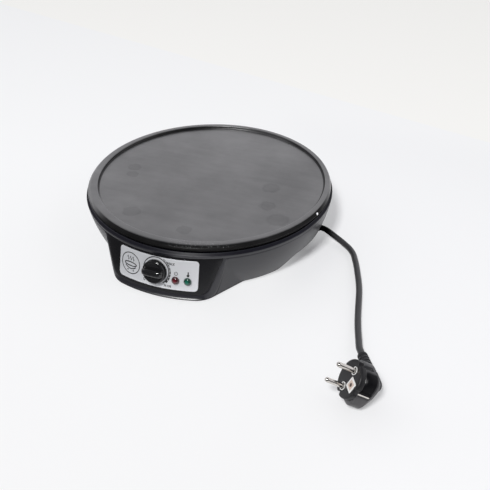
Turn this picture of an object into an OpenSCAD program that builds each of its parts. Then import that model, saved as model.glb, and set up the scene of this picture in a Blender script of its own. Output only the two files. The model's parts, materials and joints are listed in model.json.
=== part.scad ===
// Electric crepe maker: a round cast plate on a moulded base that swells into a control head.
// The front is -Y, +Z is up and the table is z = 0. Shapes are drawn about the plate's axis, and
// a turn is an angle round that axis, counted from the front, positive towards +X.

/* [Cooking plate] */
// Diameter of the cast cooking plate
plate_d = 296; // [250:1:360]
// Height of the plate's rim above the table
rim_h = 63; // [60:0.5:78]
// Width of the raised rim
rim_w = 6.2; // [5:0.2:8]
// Depth of the cooking surface below the rim
surface_drop = 3.5; // [2:0.25:5]
// Thickness of the casting
plate_t = 5; // [4:0.25:6]
// Radius of the heating element's ring
element_r = 95; // [80:1:108]
// Diameter of the element's steel sheath
sheath_d = 6.8; // [5.6:0.2:8.2]
// Radius of the circle that the plate's screws stand on
plate_screw_r = 62; // [50:1:74]

/* [Base shell] */
// How far the shell's lip stands out past the plate
lip_reach = 2.5; // [1.5:0.25:5]
// Wall thickness of the mouldings
wall = 2.4; // [2:0.1:2.9]
// How far the wall draws in from the lip to its foot
wall_draw = 16.5; // [12:0.5:20]
// How far the wall bulges out of the straight line between them
wall_bulge = 2.3; // [0:0.1:4]
// Height of the wall's foot above the table
foot_gap = 1.5; // [0.75:0.25:2]
// Height of the side arches
arch_h = 18; // [14:0.5:20]
// Half the length of a side arch at the table
arch_half = 75; // [60:1:92]

/* [Control head] */
// How far the head's foot stands out past the lip
head_reach = 12.8; // [9:0.2:16]
// How much the face draws in for each millimetre of height
face_lean = 0.27; // [0.22:0.01:0.32]
// Direction that the head's cheeks face
cheek_turn = 59.8; // [56:0.2:64]
// How far the cheeks lie inside the lip at the table
cheek_inset = 26.1; // [23:0.1:28]
// How much a cheek widens for each millimetre of height
cheek_lean = 0.085; // [0.05:0.005:0.12]
// Corner radius of the head's foot
head_corner = 28; // [16:1:34]
// Width of the silver panel
panel_w = 93.2; // [84:0.2:95]
// Height of the silver panel
panel_h = 34; // [31:0.1:34.5]
// Height of the panel's lower edge
panel_z = 12.7; // [12:0.1:14]
// Distance of the knob from the middle of the head
knob_x = 0; // [-6:0.2:4]
// Height of the knob's centre
knob_z = 31; // [29:0.2:32]
// Diameter of the knob's skirt
knob_d = 26.8; // [24:0.2:29]
// How far the knob stands out of the panel
knob_proud = 12.8; // [10:0.2:16]
// Diameter of the thermostat's spindle
spindle_d = 6; // [5:0.25:6.5]
// Diameter of a lamp's domed lens
lamp_d = 7.5; // [6.5:0.25:8.5]
// Distances of the two lamps from the middle of the head
lamp_x = [22.9, 36.1];
// Height of the lamps
lamp_z = 23.6; // [21:0.1:26]

/* [Underside] */
// Radius of the bottom cover's floor
floor_r = 122; // [118:1:124]
// Radius of the circle that the cover's posts stand on
post_r = 112; // [106:1:113]
// Diameter of a rubber foot
foot_d = 16; // [12:0.5:19]

/* [Mains lead] */
// Diameter of the lead
cord_d = 6.9; // [6:0.1:7.5]
// Diameter of the plug's face
plug_d = 37; // [35:0.5:39]
// Diameter of a plug pin
pin_d = 4.8; // [4:0.1:4.8]
// Length of a plug pin
pin_l = 19; // [18:0.5:20]
// Distance between the plug pins
pin_gap = 19; // [18:0.5:20]

/* [Hidden] */
$fn = 96;
eps = 0.01;

// Colours
black = [0.10, 0.10, 0.11];
dark = [0.20, 0.20, 0.21];
steel = [0.72, 0.73, 0.74];
zinc = [0.62, 0.63, 0.62];
brass = [0.80, 0.62, 0.32];
cream = [0.90, 0.88, 0.80];

// Heights of the plate
plate_r = plate_d / 2;
surface_z = rim_h - surface_drop;
plate_z = surface_z - plate_t;
rim_foot_z = rim_h - 6;
cove_w = 4.1;
boss_drop = 6.5;
sheath_r = sheath_d / 2;
element_z = plate_z - sheath_r - 0.1;
element_turns = [124, 146];
element_bend = 8;
element_foot_r = norm([element_r, element_bend]);
element_feet = [for (i = [0, 1])
    element_turns[i] + (i == 0 ? 1 : -1) * atan(element_bend / element_r)];
bead_top = element_z - 13;
bead_h = 4;
tab_z = bead_top - 16;

// Lip, ledge and wall of the base shell
lip_r = plate_r + lip_reach;
lip_z = rim_foot_z - 1.5;
lip_edge_z = lip_z - 3.2;
ledge_top = lip_z - 4.1;
ledge_t = 1.8;
ledge_z = ledge_top - ledge_t;
ledge_w = 20.5;
ledge_r = lip_r - ledge_w;
wall_foot_r = lip_r - wall_draw;
wall_top_r = lip_r - 0.2;
bead_r = lip_r - 3.5;
lip_in_r = lip_r - 6;

// Reflector dish
reflector_t = 0.6;
reflector_z = plate_z - 10.5;
reflector_floor_r = ledge_r - 6;
reflector_screw_r = ledge_r + 6.5;
reflector_screw_turns = [-140, -75, 75, 140];
washer_t = 0.8;
screw_r = 2;
screw_head_r = 3.8;
plate_screw_turns = [-135, -45, 45, 135];
earth_turn = plate_screw_turns[0];

// Control head: the face is a cone about the plate's axis
head_top = ledge_top;
head_wall = 3.2;
head_back = [102, 120];
face_tilt = atan(face_lean);
rebate = 1.8;
rebate_ledge = 2.5;
fascia_z = 8.4;
fascia_top = ledge_z - 0.3;
fascia_recess = 0.6;
fascia_back = 3.6;
panel_t = 0.4;
glue_t = 0.2;
clear = 0.25;
fit = 0.05;
touch = 0.1;

// Thermostat, in the knob's own frame, whose z runs out of the face
bracket_t = 1.2;
bracket_front = -17;
body_front = bracket_front - bracket_t;
body_depth = 18;
body_back = body_front - body_depth;
body_w = 34;
body_h = 28;
bush_r = 4.8;
bush_front = -11;
spindle_r = spindle_d / 2;
collar_r = spindle_r + 1.2;
collar_z = body_front - 5.8;
bracket_screw_x = 26;
bracket_screw_y = 10;
bracket_boss_r = 4;
body_screw_x = 14;
tab_w = 6.3;
tab_t = 0.8;
tab_l = 9;
tab_x = 9;
tab_y = -6;
small_screw_r = 1.5;

// Lamps
lens_stem_r = lamp_d / 2 - 0.5;
holder_r = lamp_d / 2 + 1.15;
holder_front = -3.7;
holder_back = -13;

// Bottom cover
floor_t = 2;
floor_z = 3;
floor_top = floor_z + floor_t;
flare_top = arch_h + 1;
flare_gap = 0.7;
cup_r = 6.5;
cup_top = floor_top + 3.5;
post_turns = [-160, -115, -40, 40, 115, 160];
post_top = reflector_z - 1.5;
foot_ring_r = 104;
foot_turns = [-135, -58, 58, 135];

// Lead: where it leaves the base, and its clamp
cord_r = cord_d / 2;
gland_y = 14.7;
gland_z = 10.6;
gland_wall_x = floor_r + 4;
gland_end_x = gland_wall_x + 13;
pocket_half = 9.6;
pocket_t = 2;
clamp_x = 105;
clamp_half = 10.5;
inner_cord_x = 95;
block_x = 64;
block_pitch = 8.5;
block_w = 17;
block_h = 12.5;
wire_r = 1.2;
wire_z = 12;

// Plug: how it is turned, and where its face lies, with the heel of its grip on the table
plug_turn = 115.7;
plug_dip = 6.5;
plug_roll = -59.5;
plug_r = plug_d / 2;
plug_disc = 8;
grip_back = 19;
grip_x = plug_r - 1.2;
grip_heel = plug_r + 2.2;
grip_top = plug_r - 1.1;
grip_corner = 11;
plug_rise = cos(plug_dip) * cos(plug_roll);
plug_pos = [229, -232.3,
    (grip_x - grip_corner) * sin(plug_dip)
    - (grip_heel - grip_corner) * cos(plug_dip) * sin(plug_roll)
    + grip_corner * sqrt(1 - plug_rise * plug_rise) + grip_back * plug_rise];
neck_z = -30.2;
neck_end = 49;
earth_x = -8.7;

// The free lead's route from the gland's end to the plug's neck
cord_route = [
    [gland_end_x + touch, gland_y, gland_z], [gland_end_x + 2.5, gland_y, gland_z],
    [145.4, 14.2, 10.1], [149.9, 12.6, 9.2],
    [155.9, 9.9, 7.8], [161.9, 7, 6.4], [168, 3.7, 5.2], [174, -0.3, 4.3], [179.7, -4.8, 3.8],
    [184.5, -10.3, 3.6], [188.4, -16.7, 3.6], [191.7, -24.7, 3.6], [196.1, -36.6, 3.6],
    [200.2, -49.6, 3.6], [204.4, -63.5, 3.6], [208.2, -78.5, 3.6], [211.2, -94.4, 3.6],
    [214, -110.4, 3.6], [217, -126.4, 3.7], [220.3, -141.3, 4.1], [224.1, -156.3, 5],
    [227, -167.6, 5.9], [229.5, -173.3, 6.6], plug_point([neck_end + touch, 0, neck_z])
];

// Shifts the object so that the middle of its box is at the origin.
axis_y = (face_r(knob_z) + knob_proud * cos(face_tilt) + 0.6 - lip_r) / 2;
module on_axis() {
    translate([0, axis_y, 0]) children();
}

// Plan direction of a turn, and the point on it at radius r and height z.
function way(turn) = [sin(turn), -cos(turn)];
function spot(r, turn, z) = [r * sin(turn), -r * cos(turn), z];
function unit(v) = v / norm(v);

// Radius of the shell's wall at height z: a straight draw with a shallow bulge.
function wall_r(z) = let (t = (z - foot_gap) / (lip_edge_z - foot_gap))
    wall_foot_r + (wall_top_r - wall_foot_r) * t + 4 * wall_bulge * t * (1 - t);

// Radius of the head's face at height z, and the turn of a point x off the middle there.
function face_r(z) = lip_r + head_reach - face_lean * z;
function turn_at(x, z) = asin(x / face_r(z));
function cheek_d(z) = lip_r - cheek_inset + cheek_lean * z;

// A place on the head's face, with z out of the face and y up along it.
module on_face(x, z) {
    rotate([0, 0, turn_at(x, z)])
        translate([0, -face_r(z), z])
            rotate([90 - face_tilt, 0, 0]) children();
}
function from_face(x, z, p) = let (
    a = turn_at(x, z),
    r = -face_r(z) + p[1] * sin(face_tilt) - p[2] * cos(face_tilt),
    h = z + p[1] * cos(face_tilt) + p[2] * sin(face_tilt)
) [p[0] * cos(a) - r * sin(a), p[0] * sin(a) + r * cos(a), h];

// Points of an arc of radius r at corner b of a convex outline, between its neighbours a and c.
function corner(a, b, c, r, n = 6) = let (
    u = unit(a - b), v = unit(c - b), half = acos(u * v) / 2,
    o = b + unit(u + v) * r / sin(half),
    p = b + u * r / tan(half) - o, q = b + v * r / tan(half) - o
) [for (i = [0:n]) o + r * unit(p * (n - i) + q * i)];
function rounded(points, radii) = let (n = len(points)) [
    for (i = [0:n - 1])
        each corner(points[(i + n - 1) % n], points[i], points[(i + 1) % n], radii[i])
];

// A smooth path through points, with k steps for each span.
function blend(a, b, c, d, t) =
    ((2 * b) + (c - a) * t + (2 * a - 5 * b + 4 * c - d) * t * t
        + (3 * b - a - 3 * c + d) * t * t * t) / 2;
function smooth(p, k) = let (n = len(p)) [
    for (i = [0:n - 2], j = [0:k - 1])
        blend(p[max(i - 1, 0)], p[i], p[i + 1], p[min(i + 2, n - 1)], j / k),
    p[n - 1]
];

// A round tube swept along a path; each ring's frame is carried on from the last.
function across(t, u) = unit(u - t * (t * u));
module tube(path, r, sides = 8) {
    n = len(path);
    t = [for (i = [0:n - 1]) unit(path[min(i + 1, n - 1)] - path[max(i - 1, 0)])];
    first = across(t[0], abs(t[0][2]) < 0.9 ? [0, 0, 1] : [1, 0, 0]);
    u = [for (i = 0, v = first; i < n; i = i + 1, v = across(t[min(i, n - 1)], v)) v];
    rings = [
        for (i = [0:n - 1])
            let (a = across(t[i], u[i]), b = cross(t[i], a))
                for (j = [0:sides - 1])
                    path[i] + r * (cos(360 * j / sides) * a + sin(360 * j / sides) * b)
    ];
    walls = [
        for (i = [0:n - 2], j = [0:sides - 1])
            let (k = (j + 1) % sides, s = i * sides)
                each [[s + j, s + sides + j, s + k], [s + k, s + sides + j, s + sides + k]]
    ];
    ends = [
        [for (j = [0:sides - 1]) j],
        [for (j = [sides - 1:-1:0]) (n - 1) * sides + j]
    ];
    polyhedron(rings, concat(walls, ends));
}

// A ring whose section lies between two insets from the head's face.
module face_band(outer, inner, z0, z1) {
    rotate_extrude($fn = 180)
        polygon([
            [face_r(z0) - inner, z0], [face_r(z0) - outer, z0],
            [face_r(z1) - outer, z1], [face_r(z1) - inner, z1]
        ]);
}

// A block seen from the front as the given outline, which reaches through the head's face.
module front_block(outline) {
    translate([0, -lip_r + 30, 0])
        rotate([90, 0, 0])
            linear_extrude(60 + head_reach) polygon(outline);
}

// Outline of the fascia from the front, grown by g all round.
function fascia_side(z) = face_r(z) * sin(cheek_turn - acos(cheek_d(z) / face_r(z))) - 2;
function fascia_outline(g) = let (
    w0 = fascia_side(fascia_z) + g, w1 = fascia_side(fascia_top) + g,
    z0 = fascia_z - g, z1 = fascia_top + g
) rounded([[-w0, z0], [w0, z0], [w1, z1], [-w1, z1]], [11, 11, 1.5, 1.5]);
function panel_outline(g) = let (w = panel_w / 2 + g, z0 = panel_z - g, z1 = panel_z + panel_h + g)
    rounded([[-w, z0], [w, z0], [w, z1], [-w, z1]], [4, 4, 4, 4] + [g, g, g, g]);

// Plan outline of the head: an arc of radius rf, cheeks at distance d from the axis, and
// corners of radius rho, closed by a line across the back.
function head_outline(rf, d, rho, back) = let (
    a0 = cheek_turn - acos((d - rho) / (rf - rho)),
    c = (rf - rho) * way(a0),
    x = (d - back * cos(cheek_turn)) / sin(cheek_turn),
    front = [for (i = [0:8]) rf * way(a0 * i / 8)],
    bend = [for (i = [1:6]) c + rho * way(a0 + (cheek_turn - a0) * i / 6)],
    right = concat(front, bend, [[x, -back]])
) concat(right, [for (i = [len(right) - 1:-1:1]) [-right[i][0], right[i][1]]]);

// The head as a solid that tapers from its foot to its top.
module head_solid(inset, front_inset, z0, z1, back) {
    hull() {
        translate([0, 0, z0])
            linear_extrude(eps)
                polygon(head_outline(face_r(z0) - front_inset, cheek_d(z0) - inset,
                    head_corner - inset, back[0]));
        translate([0, 0, z1 - eps])
            linear_extrude(eps)
                polygon(head_outline(face_r(z1) - front_inset, cheek_d(z1) - inset, 1.2, back[1]));
    }
}

// ---------------------------------------------------------------- cooking plate and heating

module cooking_plate() {
    ridge = plate_r - rim_w;
    color(dark) on_axis() difference() {
        union() {
            rotate_extrude($fn = 180)
                polygon(concat(
                    [
                        [0, plate_z], [plate_r - 9, plate_z], [plate_r - 6.5, rim_foot_z],
                        [plate_r - 1.7, rim_foot_z], [plate_r - 0.5, rim_foot_z + 0.5],
                        [plate_r, rim_foot_z + 1.7], [plate_r, rim_h - 3.2],
                        [plate_r - 0.8, rim_h - 1.7], [plate_r - 2.4, rim_h - 0.8],
                        [ridge + 1.6, rim_h - 0.15], [ridge + 0.7, rim_h]
                    ],
                    [for (t = [90:-15:0])
                        [ridge - cove_w + cove_w * sin(t), rim_h - surface_drop * cos(t)]],
                    [[0, surface_z]]
                ));
            for (turn = plate_screw_turns)
                translate(spot(plate_screw_r, turn, plate_z - boss_drop))
                    cylinder(r = 5.5, h = boss_drop + 1);
            for (side = [-1, 1])
                element_rib(element_r + side * (sheath_r + 1.05));
        }
        for (turn = plate_screw_turns)
            translate(spot(plate_screw_r, turn, plate_z - boss_drop - 1))
                cylinder(r = screw_r + fit, h = boss_drop + 2.5);
    }
}

module element_rib(r) {
    translate([0, 0, plate_z - 3.2])
        difference() {
            cylinder(r = r + 0.8, h = 3.7);
            translate([0, 0, -1]) cylinder(r = r - 0.8, h = 6);
        }
}

// The ring, with its two ends turned down through the reflector.
module heating_element() {
    bend = element_bend;
    color(zinc) on_axis() {
        rotate([0, 0, element_turns[1] - 90])
            rotate_extrude(angle = 360 - element_turns[1] + element_turns[0])
                translate([element_r, element_z]) circle(r = sheath_r, $fn = 32);
        for (i = [0, 1])
            rotate([0, 0, element_turns[i]]) translate([0, -element_r, element_z - bend])
                rotate([90, 0, i == 0 ? 0 : 180]) {
                    rotate_extrude(angle = 90) translate([bend, 0])
                        circle(r = sheath_r, $fn = 32);
                    translate([bend, 0, 0]) rotate([90, 0, 0])
                        cylinder(r = sheath_r, h = element_z - bend - bead_top, $fn = 32);
                }
    }
}

module element_beads() {
    color(cream) on_axis()
        for (turn = element_feet)
            translate(spot(element_foot_r, turn, bead_top - bead_h))
                difference() {
                    cylinder(r = sheath_r + 1, h = bead_h);
                    translate([0, 0, -1]) cylinder(r = 1.6, h = bead_h + 2);
                }
}

module element_tabs() {
    color(steel) on_axis()
        for (turn = element_feet)
            translate(spot(element_foot_r, turn, tab_z)) {
                translate([-tab_w / 2, -tab_t / 2, 0]) cube([tab_w, tab_t, 9]);
                translate([0, 0, 7]) cylinder(r = 1.55, h = bead_top - tab_z - 7);
            }
}

module heat_reflector() {
    rim = lip_in_r - 1.5;
    color(steel) on_axis() difference() {
        rotate_extrude($fn = 180)
            polygon([
                [0, reflector_z], [reflector_floor_r, reflector_z],
                [ledge_r - 0.5, ledge_top], [rim, ledge_top], [rim, ledge_top + 1.8],
                [rim - reflector_t, ledge_top + 1.8], [rim - reflector_t, ledge_top + reflector_t],
                [ledge_r - 0.8, ledge_top + reflector_t],
                [reflector_floor_r - 0.3, reflector_z + reflector_t],
                [0, reflector_z + reflector_t]
            ]);
        for (turn = plate_screw_turns)
            translate(spot(plate_screw_r, turn, reflector_z - 1)) cylinder(r = screw_r + 0.3, h = 3);
        for (turn = element_feet)
            translate(spot(element_foot_r, turn, reflector_z - 1))
                cylinder(r = sheath_r + 2.6, h = 3);
        for (turn = reflector_screw_turns)
            translate(spot(reflector_screw_r, turn, ledge_top - 1)) cylinder(r = 1.8, h = 3);
        translate([capillary_hole[0], capillary_hole[1], reflector_z - 1]) cylinder(r = 5, h = 3);
        for (x = fuse_clip_x)
            translate([x, fuse_y - 6, reflector_z - 1]) cylinder(r = 1.3, h = 3);
    }
}

module reflector_screws() {
    color(zinc) on_axis()
        for (turn = reflector_screw_turns)
            translate(spot(reflector_screw_r, turn, 0)) {
                translate([0, 0, ledge_z - 2.2]) cylinder(r = 3.4, h = 2.2);
                translate([0, 0, ledge_z - 1]) cylinder(r = 1.75, h = ledge_t + reflector_t + 3);
            }
}

module plate_spacers() {
    color(zinc) on_axis()
        for (turn = plate_screw_turns)
            translate(spot(plate_screw_r, turn, reflector_z + reflector_t))
                difference() {
                    cylinder(r = 5, h = plate_z - boss_drop - reflector_z - reflector_t);
                    translate([0, 0, -1]) cylinder(r = screw_r + 0.3, h = 10);
                }
}

module plate_washers() {
    color(zinc) on_axis()
        for (turn = plate_screw_turns)
            if (turn != earth_turn)
                translate(spot(plate_screw_r, turn, reflector_z - washer_t))
                    washer(4.6, screw_r + 0.2);
}

module washer(outer, inner) {
    difference() {
        cylinder(r = outer, h = washer_t);
        translate([0, 0, -1]) cylinder(r = inner, h = washer_t + 2);
    }
}

module plate_screws() {
    head_z = reflector_z - washer_t;
    color(zinc) on_axis()
        for (turn = plate_screw_turns)
            translate(spot(plate_screw_r, turn, head_z)) {
                difference() {
                    translate([0, 0, -2.6]) cylinder(r = screw_head_r, h = 2.6);
                    for (a = [0, 90])
                        rotate([0, 0, a]) translate([-2.2, -0.4, -3]) cube([4.4, 0.8, 1.6]);
                }
                translate([0, 0, -0.5])
                    cylinder(r = screw_r, h = plate_z + 1 - head_z + 0.5);
            }
}

bulb_y = -plate_screw_r;
bulb_z = plate_z - 2.8;
bulb_r = 2.2;
bulb_half = 24;
capillary_hole = [-33, -73.5];

module sensor_bulb() {
    color(brass) on_axis()
        translate([-bulb_half, bulb_y, bulb_z]) rotate([0, 90, 0]) {
            cylinder(r = bulb_r, h = 2 * bulb_half, $fn = 32);
        }
}

// A strap that wraps the bulb and is staked to the plate.
module bulb_clip() {
    strap = 0.8;
    color(steel) on_axis()
        translate([-5, bulb_y, bulb_z])
            difference() {
                union() {
                    rotate([0, 90, 0]) cylinder(r = bulb_r + 0.1 + strap, h = 10, $fn = 48);
                    translate([0, 0, plate_z - bulb_z - strap - 0.05]) cube([10, 12, strap]);
                    translate([0, bulb_r + 0.1, 0]) cube([10, strap, plate_z - bulb_z - 0.1]);
                }
                translate([-1, 0, 0]) rotate([0, 90, 0])
                    cylinder(r = bulb_r + 0.1, h = 12, $fn = 48);
                translate([-1, -5, plate_z - bulb_z - 0.05]) cube([12, 20, 4]);
                translate([5, 8.5, 0]) cylinder(r = 1.6, h = 6);
            }
}

function body_point(p) = from_face(knob_x, knob_z, p);

module capillary_tube() {
    start = body_point([-12, 6, body_back - touch]);
    route = smooth([
        start, start + [-0.3, 8, -1.4], [-22, -98, 30], [-30, -86, 36],
        [capillary_hole[0], -76.5, 41.5], [capillary_hole[0], -71, reflector_z + 3],
        [-31.5, bulb_y - 2.5, bulb_z - 1], [-28.5, bulb_y - 0.3, bulb_z],
        [-bulb_half, bulb_y, bulb_z]
    ], 3);
    color(brass) on_axis() tube(route, 0.8);
}

// ---------------------------------------------------------------- base shell and control head

// Profile of the shell's ring: foot step, wall, lip with its bead, and the ledge inside.
module shell_ring() {
    n = 8;
    zs = [for (i = [0:n]) foot_gap + 1.6 + (lip_edge_z - foot_gap - 1.6) * i / n];
    inner = [for (i = [n:-1:0]) let (z = min(zs[i], ledge_z)) [wall_r(z) - wall, z]];
    rotate_extrude($fn = 180)
        polygon(concat(
            [[wall_r(foot_gap) - 0.7, foot_gap], [wall_r(foot_gap + 1.6) - 0.7, foot_gap + 1.6]],
            [for (z = zs) [wall_r(z), z]],
            [
                [lip_r - 0.4, lip_edge_z + 0.9], [lip_r - 1.3, lip_edge_z + 1.5],
                [bead_r + 0.8, lip_z - 0.3], [bead_r, lip_z], [bead_r - 1, lip_z - 0.3],
                [lip_in_r, lip_z - 1.4], [lip_in_r, ledge_top], [ledge_r, ledge_top],
                [ledge_r, ledge_z]
            ],
            inner,
            [[wall_r(foot_gap) - wall, foot_gap]]
        ));
}

// The arch that is cut through both sides of the wall, seen along X.
module arch_cut() {
    run = 15;
    outline = rounded(
        [
            [-arch_half - 2, -4], [arch_half + 2, -4], [arch_half - run, arch_h],
            [-arch_half + run, arch_h]
        ],
        [1, 1, 14, 14]
    );
    translate([-lip_r - 20, 0, 0])
        rotate([90, 0, 90]) linear_extrude(2 * lip_r + 40) polygon(outline);
}

// A post for a cover screw, tied to the wall by a rib.
module cover_post(turn) {
    rib_z = flare_top + 3;
    rotate([0, 0, turn]) {
        translate([0, -post_r, cup_top]) cylinder(r = 4.5, h = post_top - cup_top);
        rotate([90, 0, -90])
            translate([0, 0, -1])
                linear_extrude(2)
                    polygon([
                        [post_r, rib_z], [wall_r(rib_z) - wall / 2, rib_z],
                        [wall_r(ledge_z) - wall / 2, ledge_z + 0.4], [ledge_r + 2, ledge_z + 0.4],
                        [reflector_floor_r + 1, post_top], [post_r, post_top]
                    ]);
    }
}

module base_shell() {
    color(dark) on_axis() difference() {
        union() {
            difference() {
                union() {
                    shell_ring();
                    difference() {
                        union() {
                            head_solid(0, 0, foot_gap + 1.6, head_top, head_back);
                            translate([0, 0, foot_gap])
                                linear_extrude(1.7)
                                    polygon(head_outline(face_r(foot_gap) - 0.7,
                                        cheek_d(foot_gap) - 0.7, head_corner - 0.7, head_back[0]));
                        }
                        translate([0, 0, ledge_z - 1]) cylinder(r = ledge_r + 2, h = 10);
                    }
                }
                head_solid(wall, head_wall, -1, ledge_z, [70, 70]);
                arch_cut();
            }
            for (turn = post_turns) cover_post(turn);
        }
        intersection() {
            front_block(fascia_outline(clear));
            face_band(-8, rebate, -2, fascia_top + 3);
        }
        front_block(fascia_outline(-rebate_ledge));
        for (turn = post_turns)
            translate(spot(post_r, turn, cup_top - 1)) cylinder(r = 1.5 + fit, h = 17);
        for (turn = reflector_screw_turns)
            translate(spot(reflector_screw_r, turn, ledge_z - 1)) cylinder(r = 1.9, h = 5);
    }
}

module control_fascia() {
    // The face curves away from the knob's flat frame, so the bosses end this deep to stay behind it.
    boss_depth = pow(bracket_screw_x + bracket_boss_r, 2) / (2 * face_r(knob_z))
        + (fascia_recess + fascia_back) / 3;
    color(black) on_axis() difference() {
        union() {
            intersection() {
                front_block(fascia_outline(0));
                face_band(fascia_recess, rebate - 0.1, fascia_z - 1, fascia_top + 1);
            }
            intersection() {
                front_block(fascia_outline(-rebate_ledge - clear));
                face_band(fascia_recess, fascia_back, fascia_z - 1, fascia_top + 1);
            }
            for (side = [-1, 1])
                on_face(knob_x, knob_z)
                    translate([side * bracket_screw_x, bracket_screw_y, bracket_front])
                        cylinder(r = bracket_boss_r, h = -bracket_front - boss_depth);
            for (side = [-1, 1]) {
                fascia_hook(side * 24, fascia_z + 1.4);
                fascia_hook(side * 42, fascia_top - 4.4);
            }
        }
        on_face(knob_x, knob_z) {
            translate([0, 0, -10]) cylinder(r = spindle_r + 1.5, h = 20);
            for (side = [-1, 1])
                translate([side * bracket_screw_x, bracket_screw_y, bracket_front - 1])
                    cylinder(r = small_screw_r + fit, h = 10);
        }
        for (x = lamp_x)
            on_face(x, lamp_z) translate([0, 0, -10]) cylinder(r = lens_stem_r + 0.1, h = 20);
    }
}

// A snap hook behind the fascia that catches the edge of the head's window.
module fascia_hook(x, z) {
    up = z > knob_z ? 1 : -1;
    intersection() {
        translate([x - 4, -lip_r - head_reach, z + (up > 0 ? 0 : -1.2)]) cube([8, 60, 4.2]);
        face_band(head_wall + 0.2, head_wall + 2, 0, ledge_z);
    }
}

module panel_plate() {
    color("silver") on_axis() difference() {
        intersection() {
            front_block(panel_outline(0));
            face_band(fascia_recess - glue_t - panel_t, fascia_recess - glue_t, 0, head_top);
        }
        on_face(knob_x, knob_z) translate([0, 0, -5]) cylinder(r = spindle_r + 1.8, h = 10);
        for (x = lamp_x)
            on_face(x, lamp_z) translate([0, 0, -5]) cylinder(r = lens_stem_r + 0.1, h = 10);
    }
}

// ---------------------------------------------------------------- thermostat and knob

module thermostat_body() {
    color(cream) on_axis() on_face(knob_x, knob_z) difference() {
        union() {
            translate([-body_w / 2, -body_h / 2, body_back]) cube([body_w, body_h, body_depth]);
            translate([0, 0, body_front - 1]) cylinder(r = bush_r, h = bush_front - body_front + 1);
        }
        translate([0, 0, collar_z]) cylinder(r = spindle_r + fit, h = 30);
        translate([0, 0, collar_z - 4]) cylinder(r = collar_r + 0.3, h = 4);
        for (side = [-1, 1])
            translate([side * body_screw_x, 0, body_front - 6])
                cylinder(r = screw_r + fit, h = 10);
    }
}

module thermostat_tabs() {
    color(steel) on_axis() on_face(knob_x, knob_z)
        for (side = [-1, 1])
            translate([side * tab_x - tab_w / 2, tab_y - tab_t / 2, body_back - tab_l])
                cube([tab_w, tab_t, tab_l]);
}

module thermostat_bracket() {
    color(zinc) on_axis() on_face(knob_x, knob_z)
        translate([0, 0, body_front])
            linear_extrude(bracket_t)
                difference() {
                    union() {
                        square([body_w, body_h], center = true);
                        translate([0, bracket_screw_y])
                            square([2 * bracket_screw_x, 11], center = true);
                        for (side = [-1, 1])
                            translate([side * bracket_screw_x, bracket_screw_y]) circle(r = 5.5);
                    }
                    circle(r = bush_r + 0.2);
                    for (side = [-1, 1]) {
                        translate([side * body_screw_x, 0]) circle(r = screw_r + 0.2);
                        translate([side * bracket_screw_x, bracket_screw_y])
                            circle(r = small_screw_r + 0.2);
                    }
                }
}

module thermostat_screws() {
    color(zinc) on_axis() on_face(knob_x, knob_z)
        for (side = [-1, 1])
            translate([side * body_screw_x, 0, bracket_front]) {
                cylinder(r = 3.4, h = 2.2);
                translate([0, 0, -6]) cylinder(r = screw_r, h = 7);
            }
}

module bracket_screws() {
    color(zinc) on_axis() on_face(knob_x, knob_z)
        for (side = [-1, 1])
            translate([side * bracket_screw_x, bracket_screw_y, body_front]) {
                translate([0, 0, -2]) cylinder(r = 3, h = 2);
                translate([0, 0, -1]) cylinder(r = small_screw_r, h = 10);
            }
}

// A round shaft with a flat, as a cutter or as the spindle's end.
module d_shaft(r, h) {
    difference() {
        cylinder(r = r, h = h);
        translate([-r - 1, r * 0.55, -1]) cube([2 * r + 2, r + 2, h + 2]);
    }
}

module spindle() {
    flat_z = 0.5;
    top = knob_proud - 3.4;
    color(steel) on_axis() on_face(knob_x, knob_z) {
        translate([0, 0, collar_z - 1]) cylinder(r = spindle_r, h = flat_z - collar_z + 1);
        translate([0, 0, collar_z - 3.2]) cylinder(r = collar_r, h = 3);
        translate([0, 0, flat_z - eps]) d_shaft(spindle_r, top - flat_z);
    }
}

module knob() {
    r = knob_d / 2;
    base = 0.8;
    skirt = 7.2;
    bar = [[-4, 6], [4, 6], [3.7, knob_proud - 1.8], [2.7, knob_proud - 0.5],
        [1.2, knob_proud], [-1.2, knob_proud], [-2.7, knob_proud - 0.5], [-3.7, knob_proud - 1.8]];
    plan = [[-r + 0.2, -1.2], [-r + 1.2, -3], [-r + 4, -4.1], [r - 3, -4.1], [r - 1.2, -2.6],
        [r - 1.2, 2.6], [r - 3, 4.1], [-r + 4, 4.1], [-r + 1.2, 3], [-r + 0.2, 1.2]];
    crest = [[-r - 1, 5], [-r + 0.2, 7.4], [-r + 0.9, 9], [-r + 2.4, 10.8], [-r + 5, 12.1],
        [-r + 8, 12.7], [0, knob_proud], [r - 6.5, 12.6], [r - 3.6, 11.4], [r - 1.8, 9.4],
        [r - 1.2, 7.4], [r, 5]];
    color(black) on_axis() on_face(knob_x, knob_z) difference() {
        union() {
            rotate_extrude()
                polygon([
                    [0, base], [r - 0.4, base], [r, base + 0.5], [r, skirt - 1.8],
                    [r - 0.5, skirt - 0.7], [r - 1.6, skirt - 0.1], [0, skirt + 0.2]
                ]);
            intersection() {
                translate([-r - 2, 0, 0])
                    rotate([90, 0, 90]) linear_extrude(2 * r + 4) polygon(bar);
                linear_extrude(knob_proud + 1) polygon(plan);
                rotate([90, 0, 0]) linear_extrude(12, center = true) polygon(crest);
            }
        }
        difference() {
            translate([0, 0, base - 1]) cylinder(r = r - 1.9, h = 4.6);
            translate([0, 0, base - 2]) cylinder(r = spindle_r + 2.2, h = 8);
        }
        translate([0, 0, base - 1]) d_shaft(spindle_r + fit / 2, knob_proud - 3.2 - base + 1);
    }
}

// ---------------------------------------------------------------- lamps

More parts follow.
